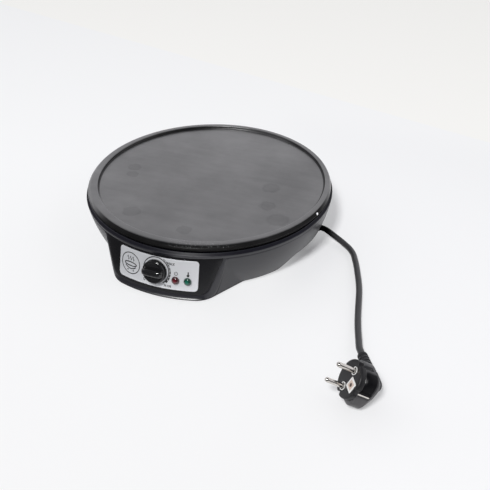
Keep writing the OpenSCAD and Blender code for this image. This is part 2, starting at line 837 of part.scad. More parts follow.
module lens(x) {
    r = lamp_d / 2;
    on_face(x, lamp_z)
        rotate_extrude($fn = 64)
            polygon(concat(
                [[0, -5.5], [lens_stem_r, -5.5], [lens_stem_r, 0.1], [r, 0.1], [r, 0.8]],
                [for (a = [15:15:75]) [(r - 0.4) * cos(a), 0.8 + 1.9 * sin(a)]],
                [[0, 2.7]]
            ));
}

module lens_red() {
    color("darkred") on_axis() lens(lamp_x[0]);
}

module lens_green() {
    color("darkgreen") on_axis() lens(lamp_x[1]);
}

module lamp_holders() {
    color(cream) on_axis()
        for (x = lamp_x)
            on_face(x, lamp_z) difference() {
                translate([0, 0, holder_back])
                    cylinder(r = holder_r, h = holder_front - holder_back);
                translate([0, 0, holder_back + 1.2]) cylinder(r = lens_stem_r + 0.15, h = 12);
                for (side = [-1, 1])
                    translate([0, side * 1.4, holder_back - 1]) cylinder(r = 0.6, h = 4);
            }
}

module neon_lamps() {
    color("orange") on_axis()
        for (x = lamp_x)
            on_face(x, lamp_z) {
                translate([0, 0, holder_back + 1.3]) cylinder(r = 2.4, h = 3.6);
                translate([0, 0, holder_back + 4.9]) sphere(r = 2.4, $fn = 32);
            }
}

// ---------------------------------------------------------------- thermal fuse

fuse_y = 30;
fuse_z = reflector_z - 3.6;
fuse_x = [10, 40];
fuse_clip_x = [18, 32];

module fuse_sleeve() {
    color(cream) on_axis()
        translate([fuse_x[0], fuse_y, fuse_z]) rotate([0, 90, 0]) difference() {
            cylinder(r = 3, h = fuse_x[1] - fuse_x[0], $fn = 32);
            translate([0, 0, -1]) cylinder(r = 2.4, h = 40, $fn = 32);
        }
}

module thermal_fuse() {
    color(steel) on_axis()
        translate([(fuse_x[0] + fuse_x[1]) / 2 - 5, fuse_y, fuse_z]) rotate([0, 90, 0])
            cylinder(r = 2.3, h = 10, $fn = 32);
}

// Spring clips that press the sleeve to the reflector.
module fuse_clip() {
    color(steel) on_axis()
        for (x = fuse_clip_x)
            translate([x - 3, fuse_y, fuse_z]) difference() {
                union() {
                    rotate([0, 90, 0]) cylinder(r = 3.6, h = 6, $fn = 48);
                    translate([0, -8.5, reflector_z - fuse_z - 0.65]) cube([6, 8, 0.6]);
                    translate([0, -3.6, 0]) cube([6, 0.6, reflector_z - fuse_z - 0.05]);
                }
                translate([-1, 0, 0]) rotate([0, 90, 0]) cylinder(r = 3.02, h = 8, $fn = 48);
                translate([-1, -0.5, 0]) cube([8, 6, 6]);
                translate([3, -6, 0]) cylinder(r = 1.2, h = 6);
            }
}

// ---------------------------------------------------------------- wiring

block_ways = [-1, 0, 1];
function block_y(i) = gland_y + i * block_pitch;

module terminal_block() {
    color(cream) on_axis() difference() {
        translate([block_x, gland_y - 1.5 * block_pitch, floor_top])
            cube([block_w, 3 * block_pitch, block_h]);
        for (i = block_ways) {
            translate([block_x - 1, block_y(i), wire_z])
                rotate([0, 90, 0]) cylinder(r = wire_r + 0.4, h = block_w + 2, $fn = 32);
            for (x = [4.5, block_w - 4.5])
                translate([block_x + x, block_y(i), wire_z]) cylinder(r = 2.1, h = 12, $fn = 32);
        }
    }
}

module block_screws() {
    color(brass) on_axis()
        for (i = block_ways, x = [4.5, block_w - 4.5])
            translate([block_x + x, block_y(i), wire_z + wire_r + 0.7])
                cylinder(r = 2, h = 3.4, $fn = 32);
}

module wire(points, r = wire_r) {
    tube(smooth(points, 3), r);
}

// The three cores fan out from the lead's jacket to the terminal block.
module cord_cores() {
    end_x = block_x + block_w / 2 + 0.3;
    color(brass) on_axis()
        for (i = block_ways)
            wire([
                [inner_cord_x - touch, gland_y + i * 2.1, gland_z + (i == 0 ? 1 : -0.6)],
                [inner_cord_x - 3, gland_y + i * 2.6, gland_z + (i == 0 ? 1 : -0.2)],
                [inner_cord_x - 8, block_y(i), wire_z - 0.3],
                [block_x + block_w, block_y(i), wire_z], [end_x, block_y(i), wire_z]
            ], 1);
}

// A lead starts inside the terminal block and runs along the floor.
function block_exit(i) = [
    [block_x + block_w / 2 - 0.3, block_y(i), wire_z], [block_x, block_y(i), wire_z],
    [block_x - 8, block_y(i), wire_z]
];
function tab_end(side) = body_point([side * tab_x, tab_y, body_back - tab_l - 2 * touch]);
function tab_run(side) = body_point([side * tab_x, tab_y, body_back - tab_l - 11]);
function element_end(i, drop) = spot(element_foot_r, element_feet[i], tab_z - drop);

module lead_live() {
    color("brown") on_axis()
        wire(concat(block_exit(-1), [
            [45, -8, 9], [36, -38, 8.5], [24, -74, 9.5], tab_run(1), tab_end(1)
        ]));
}

module lead_switched() {
    color("brown") on_axis() {
        wire([
            tab_end(-1), tab_run(-1), [-14, -80, 9.5], [-16, -40, 8.5], [-15, -5, 9],
            [-10, 18, 20], [-4, 29, 33], [3, fuse_y, fuse_z - 1], [fuse_x[0], fuse_y, fuse_z],
            [(fuse_x[0] + fuse_x[1]) / 2 - 5 - touch, fuse_y, fuse_z]
        ]);
        wire([
            [(fuse_x[0] + fuse_x[1]) / 2 + 5 + touch, fuse_y, fuse_z],
            [fuse_x[1], fuse_y, fuse_z],
            [47, 33, 37.5], [52, 44, 28], [55.5, 60, 17], element_end(1, 10) + [0, -4, 0.5],
            element_end(1, 7), element_end(1, touch)
        ]);
    }
}

module lead_neutral() {
    color("blue") on_axis()
        wire(concat(block_exit(0), [
            [50, 18.5, 15], [49, 29, 16.5], [55, 42, 13.5], element_end(0, 10) + [-8, -7, -1],
            element_end(0, 10) + [-2, -2, -0.5],
            element_end(0, 7), element_end(0, touch)
        ]));
}

earth_spot = spot(plate_screw_r, earth_turn, reflector_z - washer_t);

module lead_earth() {
    lug = earth_spot + [15 + touch, 0, -0.5];
    color("yellow") on_axis()
        wire(concat(block_exit(1), [
            [44, 27, 8.5], [18, 46, 8], [-8, 56, 11], [-19, 57, 24], [-22, 52, 35],
            lug + [4, 0.3, -1.5], lug
        ]));
}

// A ring terminal that takes the place of one washer.
module earth_tag() {
    color(brass) on_axis()
        translate(earth_spot) difference() {
            union() {
                cylinder(r = 4.6, h = washer_t);
                translate([0, -2.5, 0]) cube([15, 5, washer_t]);
            }
            translate([0, 0, -1]) cylinder(r = screw_r + 0.2, h = washer_t + 2);
        }
}

// ---------------------------------------------------------------- underside

// Outer surface of the cover's flare, as points of radius and height from its floor up.
flare_side = [[floor_r, floor_z], [wall_r(flare_top - 2) - wall - flare_gap, flare_top - 2],
    [wall_r(flare_top) - wall - flare_gap, flare_top]];

module bottom_cover() {
    room = 0.4;
    lobe = head_outline(face_r(floor_top) - head_wall - room, cheek_d(floor_z) - wall - room,
        head_corner - wall - room, 80);
    in = [floor_t, 0];
    color(black) on_axis() difference() {
        union() {
            translate([0, 0, floor_z]) cylinder(r = floor_r, h = floor_t, $fn = 180);
            difference() {
                rotate_extrude($fn = 180)
                    polygon(concat(
                        [flare_side[0] - in], flare_side,
                        [flare_side[2] - in, [flare_side[0][0] - floor_t, floor_top + 0.4]]
                    ));
                translate([0, 0, floor_top])
                    linear_extrude(30)
                        polygon(head_outline(face_r(0), cheek_d(flare_top) + room, head_corner,
                            head_back[0] - 1.5));
            }
            translate([0, 0, floor_z]) linear_extrude(floor_t) polygon(lobe);
            gland_pocket();
            for (turn = post_turns)
                translate(spot(post_r, turn, floor_z)) cylinder(r = cup_r, h = cup_top - floor_z);
            translate([clamp_x - 4, gland_y - 4, floor_top - 1])
                cube([8, 8, gland_z - cord_r - floor_top + 0.95]);
            for (side = [-1, 1])
                translate([clamp_x, gland_y + side * clamp_half, floor_top - 1])
                    cylinder(r = 3.6, h = gland_z + 1 - floor_top + 1);
        }
        translate([gland_wall_x, gland_y - pocket_half, -1])
            cube([40, 2 * pocket_half, 40]);
        translate([clamp_x + 8, gland_y - pocket_half, floor_top])
            cube([gland_wall_x - pocket_t - clamp_x - 8, 2 * pocket_half, 40]);
        translate([gland_wall_x - 10, gland_y, gland_z])
            rotate([0, 90, 0]) cylinder(r = 4.6, h = 20);
        for (turn = post_turns)
            translate(spot(post_r, turn, 0)) {
                translate([0, 0, -1]) cylinder(r = 4.4, h = cup_top - 1);
                cylinder(r = 2, h = 20);
            }
        for (turn = foot_turns)
            translate(spot(foot_ring_r, turn, 0)) cylinder(r = 2.6, h = 20);
        for (side = [-1, 1])
            translate([clamp_x, gland_y + side * clamp_half, floor_top + 0.5])
                cylinder(r = small_screw_r + fit, h = 20);
        for (row = [-3:3], side = [-1, 1])
            translate([side * (abs(row) % 2 == 0 ? 20 : 30) - 11, row * 9 - 1.5, 0])
                cube([22, 3, 10]);
    }
}

// The alcove in the cover's flare that the lead's gland is fitted to.
module gland_pocket() {
    intersection() {
        rotate_extrude($fn = 180)
            polygon(concat([[0, floor_z]], flare_side, [[0, flare_top]]));
        translate([0, gland_y, floor_z]) {
            for (side = [-1, 1])
                translate([clamp_x + 8, side * (pocket_half + wall / 2) - wall / 2, 0])
                    cube([60, wall, 20]);
            translate([gland_wall_x - pocket_t, -pocket_half - 1, 0])
                cube([pocket_t, 2 * pocket_half + 2, 20]);
        }
    }
}

module cover_screws() {
    color(zinc) on_axis()
        for (turn = post_turns)
            translate(spot(post_r, turn, cup_top - 2)) {
                difference() {
                    translate([0, 0, -2.4]) cylinder(r = 3.7, h = 2.4);
                    for (a = [0, 90])
                        rotate([0, 0, a]) translate([-2, -0.4, -3]) cube([4, 0.8, 1.6]);
                }
                translate([0, 0, -1]) cylinder(r = 1.5, h = 14);
            }
}

module rubber_feet() {
    r = foot_d / 2;
    color(black) on_axis()
        for (turn = foot_turns)
            translate(spot(foot_ring_r, turn, 0))
                rotate_extrude()
                    polygon([
                        [0, 0], [r - 0.8, 0], [r, 0.8], [r - 0.4, floor_z], [2.5, floor_z],
                        [2.5, floor_top], [3.4, floor_top + 0.2], [2.2, floor_top + 2],
                        [0, floor_top + 2]
                    ]);
}

// ---------------------------------------------------------------- mains lead

module inner_cord() {
    color(black) on_axis()
        translate([inner_cord_x, gland_y, gland_z])
            rotate([0, 90, 0]) cylinder(r = cord_r, h = gland_end_x - inner_cord_x);
}

// The bar that holds the lead's jacket down on the cover's saddle.
module cord_clamp() {
    color(cream) on_axis() difference() {
        translate([clamp_x - 4, gland_y - clamp_half - 4, gland_z + 1])
            cube([8, 2 * clamp_half + 8, 4.8]);
        translate([clamp_x - 5, gland_y, gland_z])
            rotate([0, 90, 0]) cylinder(r = cord_r + fit, h = 10);
        for (side = [-1, 1])
            translate([clamp_x, gland_y + side * clamp_half, gland_z])
                cylinder(r = small_screw_r + 0.2, h = 10);
    }
}

module clamp_screws() {
    color(zinc) on_axis()
        for (side = [-1, 1])
            translate([clamp_x, gland_y + side * clamp_half, gland_z + 5.8]) {
                cylinder(r = 3, h = 2);
                translate([0, 0, -9]) cylinder(r = small_screw_r, h = 10);
            }
}

// A grommet with a flange on each side of the wall and a ribbed, tapered tail.
module cord_gland() {
    inner_x = gland_wall_x - pocket_t;
    tail = gland_end_x - gland_wall_x - 2.2;
    color(black) on_axis()
        translate([0, gland_y, gland_z]) rotate([0, 90, 0]) difference() {
            union() {
                translate([0, 0, inner_x - 2.6]) cylinder(r = 5.4, h = 2.5);
                translate([0, 0, inner_x - 1]) cylinder(r = 4.5, h = 5);
                translate([0, 0, gland_wall_x + 0.1]) cylinder(r = 6, h = 2.1);
                translate([0, 0, gland_wall_x + 2]) cylinder(r1 = 5.4, r2 = 4.4, h = tail + 0.2);
            }
            translate([0, 0, inner_x - 5]) cylinder(r = cord_r + fit, h = 30);
            for (i = [0:2])
                translate([0, 0, gland_wall_x + 4 + 2.8 * i])
                    difference() {
                        cylinder(r = 7, h = 1.2);
                        translate([0, 0, -1]) cylinder(r = 4.2, h = 4);
                    }
        }
}

module power_cord() {
    color(black) on_axis() tube(smooth(cord_route, 3), cord_r, 10);
}

module on_plug() {
    translate(plug_pos) rotate([0, plug_dip, plug_turn]) rotate([plug_roll, 0, 0]) children();
}
function turned_x(a, p) = [p[0], p[1] * cos(a) - p[2] * sin(a), p[1] * sin(a) + p[2] * cos(a)];
function turned_y(a, p) = [p[0] * cos(a) + p[2] * sin(a), p[1], p[2] * cos(a) - p[0] * sin(a)];
function turned_z(a, p) = [p[0] * cos(a) - p[1] * sin(a), p[0] * sin(a) + p[1] * cos(a), p[2]];
function plug_point(p) =
    plug_pos + turned_z(plug_turn, turned_y(plug_dip, turned_x(plug_roll, p)));

// A ribbed sleeve that tapers from the plug to the lead.
module plug_neck() {
    root = plug_r + touch / 2;
    color(black) on_axis() on_plug()
        translate([0, 0, neck_z]) rotate([0, 90, 0]) difference() {
            translate([0, 0, root]) cylinder(r1 = 6.6, r2 = 5, h = neck_end - root);
            for (i = [0:4])
                translate([0, 0, root + 7 + 4.4 * i])
                    difference() {
                        cylinder(r = 9, h = 1.6);
                        translate([0, 0, -1]) cylinder(r = 5 - 0.2 * i, h = 4);
                    }
        }
}

// Outline of the plug's grip, seen from its face: blunt corners and a heel on one side.
module grip_outline() {
    translate([0, (grip_heel - grip_top) / 2]) offset(r = grip_corner)
        square([2 * (grip_x - grip_corner), grip_heel + grip_top - 2 * grip_corner],
            center = true);
}

// The plug's body: a round face, a grip that narrows to a rounded ridge for the neck,
// guide grooves in its sides, and a seat for each earth strip.
module plug_body() {
    groove = 5.6;
    color(dark) on_axis() on_plug() difference() {
        union() {
            translate([0, 0, -plug_disc]) cylinder(r = plug_r, h = plug_disc - 1);
            translate([0, 0, -1]) cylinder(r1 = plug_r, r2 = plug_r - 1, h = 1);
            translate([0, 0, -grip_back]) linear_extrude(grip_back - plug_disc + 1)
                grip_outline($fn = 32);
            translate([0, 0, -grip_back]) mirror([0, 0, 1])
                linear_extrude(7, scale = [0.6, 0.55], slices = 2) grip_outline($fn = 32);
            translate([6, 0, neck_z]) sphere(r = 7.2);
            translate([6, 0, neck_z]) rotate([0, 90, 0]) cylinder(r = 7.2, h = plug_r - 6);
        }
        for (side = [-1, 1]) {
            translate([-groove / 2, side * plug_r - 3, -15]) cube([groove, 6, 30]);
            translate([side * grip_x - 1, -3.2, -18]) cube([2, 6.4, 17.9]);
            translate([side * (plug_r + 1.1) - 1.5, -3.2, -18]) cube([3, 6.4, 30]);
        }
        for (side = [-1, 1])
            translate([0, side * pin_gap / 2, -12]) cylinder(r = 4.1, h = 20);
        translate([earth_x - 5.9, -5.5, -12]) cube([11.8, 11, 20]);
    }
}

// The pin carrier shows as a collar round each pin and a frame round the earth socket.
module plug_insert() {
    color("white") on_axis() on_plug() {
        for (side = [-1, 1])
            translate([0, side * pin_gap / 2, -12 + eps])
                difference() {
                    cylinder(r = 4, h = 12.7);
                    translate([0, 0, 3]) cylinder(r = pin_d / 2, h = 20);
                }
        difference() {
            translate([earth_x - 5.8, -5.4, -12 + eps]) cube([11.6, 10.8, 12.4]);
            translate([earth_x - 4.4, -4, -8]) cube([8.8, 8, 20]);
        }
    }
}

module plug_pins() {
    color(steel) on_axis() on_plug()
        for (side = [-1, 1])
            translate([0, side * pin_gap / 2, -9 + eps]) {
                cylinder(r = pin_d / 2, h = pin_l + 9 - pin_d / 4);
                translate([0, 0, pin_l + 9 - pin_d / 4 - eps])
                    cylinder(r1 = pin_d / 2, r2 = pin_d / 4, h = pin_d / 4);
            }
}

// The earth socket's sleeve, and a strip along each side of the drum.
module plug_earths() {
    color(brass) on_axis() on_plug() {
        translate([earth_x, 0, -8 + eps]) difference() {
            cylinder(r = 3.6, h = 7);
            translate([0, 0, 1]) cylinder(r = 2.6, h = 10);
        }
        for (side = [-1, 1])
            translate([side * (grip_x - 0.6 + touch) - 0.4, -2.4, -17.5]) cube([0.8, 4.8, 16.5]);
    }
}

cooking_plate();
heating_element();
element_beads();
element_tabs();
heat_reflector();
reflector_screws();
plate_spacers();
plate_washers();
plate_screws();
sensor_bulb();
bulb_clip();
capillary_tube();
base_shell();
control_fascia();
panel_plate();
thermostat_body();
thermostat_tabs();
thermostat_bracket();
thermostat_screws();
bracket_screws();
spindle();
knob();
lens_red();
lens_green();
lamp_holders();
neon_lamps();
thermal_fuse();
fuse_sleeve();
fuse_clip();
terminal_block();
block_screws();
cord_cores();
lead_live();
lead_switched();
lead_neutral();
lead_earth();
earth_tag();
bottom_cover();
cover_screws();
rubber_feet();
inner_cord();
cord_clamp();
clamp_screws();
cord_gland();
power_cord();
plug_neck();
plug_body();
plug_insert();
plug_pins();
plug_earths();
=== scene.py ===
"""An electric crepe maker: a round coated plate on a moulded base with a control head."""

import json
import math

import bmesh
import bpy
import numpy as np
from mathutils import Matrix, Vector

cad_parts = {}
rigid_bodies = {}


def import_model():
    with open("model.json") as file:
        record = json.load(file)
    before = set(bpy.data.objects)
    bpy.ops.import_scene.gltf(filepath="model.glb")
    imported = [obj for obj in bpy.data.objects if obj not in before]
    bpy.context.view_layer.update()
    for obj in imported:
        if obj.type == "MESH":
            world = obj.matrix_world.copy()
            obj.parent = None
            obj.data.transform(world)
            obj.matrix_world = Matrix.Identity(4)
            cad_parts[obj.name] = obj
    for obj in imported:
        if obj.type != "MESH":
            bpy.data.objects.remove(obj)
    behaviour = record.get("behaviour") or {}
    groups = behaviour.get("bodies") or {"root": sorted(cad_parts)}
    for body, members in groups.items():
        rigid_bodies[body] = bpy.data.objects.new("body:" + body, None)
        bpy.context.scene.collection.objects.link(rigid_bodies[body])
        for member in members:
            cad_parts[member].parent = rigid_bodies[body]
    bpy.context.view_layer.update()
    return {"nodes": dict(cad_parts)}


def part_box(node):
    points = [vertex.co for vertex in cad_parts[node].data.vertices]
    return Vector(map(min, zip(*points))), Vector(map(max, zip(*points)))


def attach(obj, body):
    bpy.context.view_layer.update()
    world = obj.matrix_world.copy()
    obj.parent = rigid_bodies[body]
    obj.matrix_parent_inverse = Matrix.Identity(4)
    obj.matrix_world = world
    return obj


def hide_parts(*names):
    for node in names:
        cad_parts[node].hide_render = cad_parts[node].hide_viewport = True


for thing in list(bpy.data.objects):
    bpy.data.objects.remove(thing)
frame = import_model()
nodes = frame["nodes"]


# ---------------------------------------------------------------- room
# A white table that meets a white wall, in a room whose far walls are bright and whose ceiling
# and near side are dim, so level faces look paler than steep ones. One soft lamp stands
# beside the viewer's left shoulder, and a narrow window lights the right-hand edge.

CAMERA_PLACE = (0.278189, -0.629896, 0.464699)
CAMERA_TURN = (0.942128, -0.001694, 0.350298)
CAMERA_LENS = 47.755
ROOM_GLOW = (0.97, 0.965, 1.0, 1)
ROOM_DIM = (0.08, 0.08, 0.085, 1)
TABLE_WHITE = (0.94, 0.945, 0.955, 1)
TABLE_NEAR = (0.88, 0.88, 0.885, 1)
WALL_WHITE = (0.955, 0.95, 0.93, 1)
TABLE_END, TABLE_SLANT = 0.455, 0.306
GLOW_OPEN, GLOW_IN_SHADE = 0.62, 0.36


class Shade:
    """A shader value. Each operator on it adds one Math node, so a pattern reads as a sum."""

    def __init__(self, tree, socket=None):
        self.tree, self.socket = tree, socket

    def node(self, kind, settings=None, inputs=None, out=0):
        """Adds a node: first its settings, then a value or a link for each socket named."""
        node = self.tree.nodes.new("ShaderNode" + kind)
        for name, value in (settings or {}).items():
            setattr(node, name, value)
        for name, value in (inputs or {}).items():
            if isinstance(value, Shade):
                self.tree.links.new(value.socket, node.inputs[name])
            else:
                node.inputs[name].default_value = value
        return Shade(self.tree, node.outputs[out] if node.outputs else None)

    def math(self, operation, *values):
        return self.node("Math", {"operation": operation}, dict(enumerate((self, *values))))

    def __add__(self, other):
        return self.math("ADD", other)

    __radd__ = __add__

    def __sub__(self, other):
        return self.math("SUBTRACT", other)

    def __rsub__(self, other):
        return self.node("Math", {"operation": "SUBTRACT"}, {0: other, 1: self})

    def __mul__(self, other):
        return self.math("MULTIPLY", other)

    __rmul__ = __mul__

    def __truediv__(self, other):
        return self.math("DIVIDE", other)

    def __pow__(self, other):
        return self.math("POWER", other)

    def __abs__(self):
        return self.math("ABSOLUTE")

    def step(self, low, high):
        """0 below low, 1 above high, and a smooth rise between them."""
        return self.node(
            "MapRange",
            {"interpolation_type": "SMOOTHSTEP"},
            {"Value": self, "From Min": low, "From Max": high},
        )

    def mix_value(self, below, above):
        """The value below where this is 0, and above where it is 1."""
        return self * (above - below) + below

    def mix(self, below, above):
        """The colour below where this is 0, and above where it is 1."""
        return self.node("Mix", {"data_type": "RGBA"}, {0: self, 6: below, 7: above}, out=2)

    def noise(self, scale, detail=2, rough=0.5):
        """Cloudy noise on this vector, about 0 to 1, with features of 1/scale metres."""
        return self.node(
            "TexNoise",
            {},
            {"Vector": self, "Scale": scale, "Detail": detail, "Roughness": rough},
        )

    def stretched(self, x, y, z):
        """This vector with each axis multiplied, so that noise on it runs in streaks."""
        return self.node("VectorMath", {"operation": "MULTIPLY"}, {0: self, 1: (x, y, z)})

    def bump(self, strength, distance):
        """Normals of a surface that rises by distance metres where this goes from 0 to 1."""
        return self.node(
            "Bump", {}, {"Height": self, "Strength": strength, "Distance": distance}
        )

    def along(self, start, way):
        """How far this vector lies from the point start in the direction way."""
        gap = self.node("VectorMath", {"operation": "SUBTRACT"}, {0: self, 1: tuple(start)})
        return self.node(
            "VectorMath", {"operation": "DOT_PRODUCT"}, {0: gap, 1: tuple(way)}, out="Value"
        )

    def distance(self, point):
        """How far this vector lies from the point."""
        return self.node(
            "VectorMath", {"operation": "DISTANCE"}, {0: self, 1: tuple(point)}, out="Value"
        )

    def axes(self):
        """The x, y and z of this vector."""
        split = self.node("SeparateXYZ", {}, {"Vector": self}).socket.node
        return [Shade(self.tree, socket) for socket in split.outputs]


def bare_material(name):
    """A material without nodes, and a Shade that adds them."""
    material = bpy.data.materials.new(name)
    material.use_nodes = True
    material.node_tree.nodes.clear()
    return material, Shade(material.node_tree)


def finish(name, pattern, **plain):
    """A material. pattern(place) gives the sockets that change over the surface, from the
    Object coordinates in metres, and plain gives the ones that don't."""
    material, start = bare_material(name)
    place = start.node("TexCoord", out="Object")
    sockets = {key.replace("_", " "): value for key, value in plain.items()}
    shader = start.node("BsdfPrincipled", {}, {**sockets, **pattern(place)})
    start.node("OutputMaterial", {}, {"Surface": shader})
    return material


def white_ground():
    """Cool white, painted a little darker toward the viewer as painted shade, and past the table's
    far edge the warmer white of the wall. The camera sees a share of it as a plain glow, less on
    the shaded right, and none close under the base, so that shadows show there. Other rays find it
    painted darker toward the viewer and the left: painted shade for the base's shadow and the
    room's near side."""
    material, start = bare_material("table_white")
    x, y, _ = start.node("TexCoord", out="Object").axes()
    seen = start.node("LightPath", out="Is Camera Ray")
    beyond = (y + x * TABLE_SLANT).step(TABLE_END - 0.003, TABLE_END + 0.003)
    # Painted shade: the table is painted a little darker toward the viewer.
    near = y.step(0.1, -0.55)
    # Painted shade for reflections and bounce light: rays other than the camera's find the table
    # painted in the room's dark colour toward the viewer and the left.
    painted_shade = (y + x * 0.7).step(-0.155, -0.27) * (1 - seen)
    white = beyond.mix(near.mix(TABLE_WHITE, TABLE_NEAR), WALL_WHITE)
    paint = start.node("BsdfPrincipled", {}, {
        "Base Color": painted_shade.mix(white, ROOM_DIM), "Roughness": 0.6, "Specular IOR Level": 0.2})
    glow = start.node("Emission", {}, {"Color": white})
    shaded = (x + y * 0.35).step(0.06, 0.17) * y.step(0.4, 0.25)
    under = ((x * x + y * y) ** 0.5).step(0.19, 0.15) * y.step(0.02, -0.02)
    share = shaded.mix_value(GLOW_OPEN, GLOW_IN_SHADE) * (1 - shaded * under)
    mixed = start.node("MixShader", {}, {0: seen * share, 1: paint, 2: glow})
    start.node("OutputMaterial", {}, {"Surface": mixed})
    return material


table_mesh = bpy.data.meshes.new("table")
table_mesh.from_pydata([(-6, -6, 0), (6, -6, 0), (6, 6, 0), (-6, 6, 0)], [], [(0, 1, 2, 3)])
table = bpy.data.objects.new("table", table_mesh)
bpy.context.scene.collection.objects.link(table)
table_mesh.materials.append(white_ground())

world = bpy.data.worlds.new("room")
bpy.context.scene.world = world
world.use_nodes = True
world.node_tree.nodes.clear()
sky = Shade(world.node_tree)
_, to_y, to_z = sky.node("TexCoord", out="Generated").axes()
far_wall = to_y.step(-0.5, 0.1) * to_z.step(0.84, 0.64)
glow = far_wall.mix(ROOM_DIM, ROOM_GLOW)
sky.node("OutputWorld", {}, {"Surface": sky.node("Background", {}, {"Color": glow})})


def lamp(name, place, target, width, height, power):
    """A soft rectangular lamp that faces a point."""
    light = bpy.data.lights.new(name, "AREA")
    light.shape, light.size, light.size_y, light.energy = "RECTANGLE", width, height, power
    shine = bpy.data.objects.new(name, light)
    bpy.context.scene.collection.objects.link(shine)
    shine.location = place
    aim = Vector(target) - Vector(place)
    shine.rotation_euler = aim.to_track_quat("-Z", "Y").to_euler()


lamp("shoulder", (-0.07, -2.0, 2.64), (0, 0, 0), 0.6, 0.6, 88)
lamp("window", (1.5, 0.9, 0.6), (0, 0, 0.05), 0.12, 0.5, 0.3)

lens = bpy.data.cameras.new("camera")
lens.lens, lens.sensor_width = CAMERA_LENS, 36
lens.clip_start, lens.clip_end = 0.01, 30
camera = bpy.data.objects.new("camera", lens)
camera.location, camera.rotation_euler = CAMERA_PLACE, CAMERA_TURN
bpy.context.scene.collection.objects.link(camera)
bpy.context.scene.camera = camera
bpy.context.scene.view_settings.view_transform = "Standard"


# ---------------------------------------------------------------- lead
# A round three-core lead with a black sheath of soft vinyl. It comes straight out of its
# gland under the right side, drops to the table and runs forward in one lazy curve.

plate_low, plate_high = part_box("cooking_plate")
AXIS_Y = (plate_low.y + plate_high.y) / 2
LEAD_R = 3.45
PLUG_X, PLUG_Y = 229, -232.3
PLUG_TURN, PLUG_DIP, PLUG_ROLL = (math.radians(angle) for angle in (115.7, 6.5, -59.5))
GRIP_X, GRIP_HEEL, GRIP_CORNER, GRIP_BACK = 17.3, 20.7, 11, 19
NECK_Z, NECK_END = -30.2, 49.0

# The lead's middle line, in mm from the plate's axis and the table.
LEAD_ROUTE = (
    (139.1, 14.7, 10.6), (141.5, 14.7, 10.6), (145.4, 14.2, 10.1), (149.9, 12.6, 9.2),
    (155.9, 9.9, 7.8), (161.9, 7.0, 6.4), (168.0, 3.7, 5.2), (174.0, -0.3, 4.3),
    (179.7, -4.8, 3.8), (184.5, -10.3, 3.6), (188.4, -16.7, 3.6), (191.7, -24.7, 3.6),
    (196.1, -36.6, 3.6), (200.2, -49.6, 3.6), (204.4, -63.5, 3.6), (208.2, -78.5, 3.6),
    (211.2, -94.4, 3.6), (214.0, -110.4, 3.6), (217.0, -126.4, 3.7), (220.3, -141.3, 4.1),
    (224.1, -156.3, 5.0), (227.0, -167.6, 5.9), (229.5, -173.3, 6.6),
)


def spun(axis, angle):
    """The rotation matrix of a right-handed turn about x, y or z."""
    turn = np.eye(3)
    first, second = (axis + 1) % 3, (axis + 2) % 3
    turn[first, first] = turn[second, second] = math.cos(angle)
    turn[second, first] = math.sin(angle)
    turn[first, second] = -turn[second, first]
    return turn


# The plug's frame: it is turned, dipped and rolled until it lies on the round corner between
# its grip's heel and back, which sets its height.
plug_axes = spun(2, PLUG_TURN) @ spun(1, PLUG_DIP) @ spun(0, PLUG_ROLL)
face_rise = plug_axes[2, 2]
plug_place = np.array([
    PLUG_X, PLUG_Y,
    (GRIP_X - GRIP_CORNER) * math.sin(PLUG_DIP)
    - (GRIP_HEEL - GRIP_CORNER) * math.cos(PLUG_DIP) * math.sin(PLUG_ROLL)
    + GRIP_CORNER * math.sqrt(1 - face_rise**2) + GRIP_BACK * face_rise,
])


def on_plug(points):
    """Points in the plug's own frame, whose z runs out of its face and x along its neck."""
    return np.asarray(points) @ plug_axes.T + plug_place


def in_frame(points):
    """Points in mm about the plate's axis, in the metres of the frame."""
    return np.asarray(points) / 1000 + (0, AXIS_Y, 0)


def spline(points, cuts=6):
    """A Catmull-Rom curve: on each stretch ((2P1) + (P2-P0)t + (2P0-5P1+4P2-P3)tt
    + (3P1-P0-3P2+P3)ttt) / 2."""
    p = np.asarray(points, float)
    p = np.vstack([2 * p[:1] - p[1:2], p, 2 * p[-1:] - p[-2:-1]])
    a, b, c, d = (p[i : len(p) - 3 + i, None] for i in range(4))
    t = np.linspace(0, 1, cuts, endpoint=False)[:, None]
    curve = (2 * b + (c - a) * t + (2 * a - 5 * b + 4 * c - d) * t**2
             + (3 * b - a - 3 * c + d) * t**3) / 2
    return np.vstack([curve.reshape(-1, p.shape[1]), p[-2:-1]])


def sweep(path, radius, sides=24):
    """A tube: ring i is path[i] + radius (side cos a + up sin a), square to the path. A ring
    of no size closes each end."""
    along = np.gradient(path, axis=0)
    along /= np.linalg.norm(along, axis=1, keepdims=True)
    side = np.cross(along, (0, 0, 1))
    side /= np.linalg.norm(side, axis=1, keepdims=True)
    up = np.cross(side, along)
    angle = np.linspace(0, 2 * np.pi, sides, endpoint=False)[None, :, None]
    ring = side[:, None] * np.cos(angle) + up[:, None] * np.sin(angle)
    ring = np.concatenate([0 * ring[:1], ring * radius, 0 * ring[:1]])
    return np.concatenate([path[:1], path, path[-1:]])[:, None] + ring


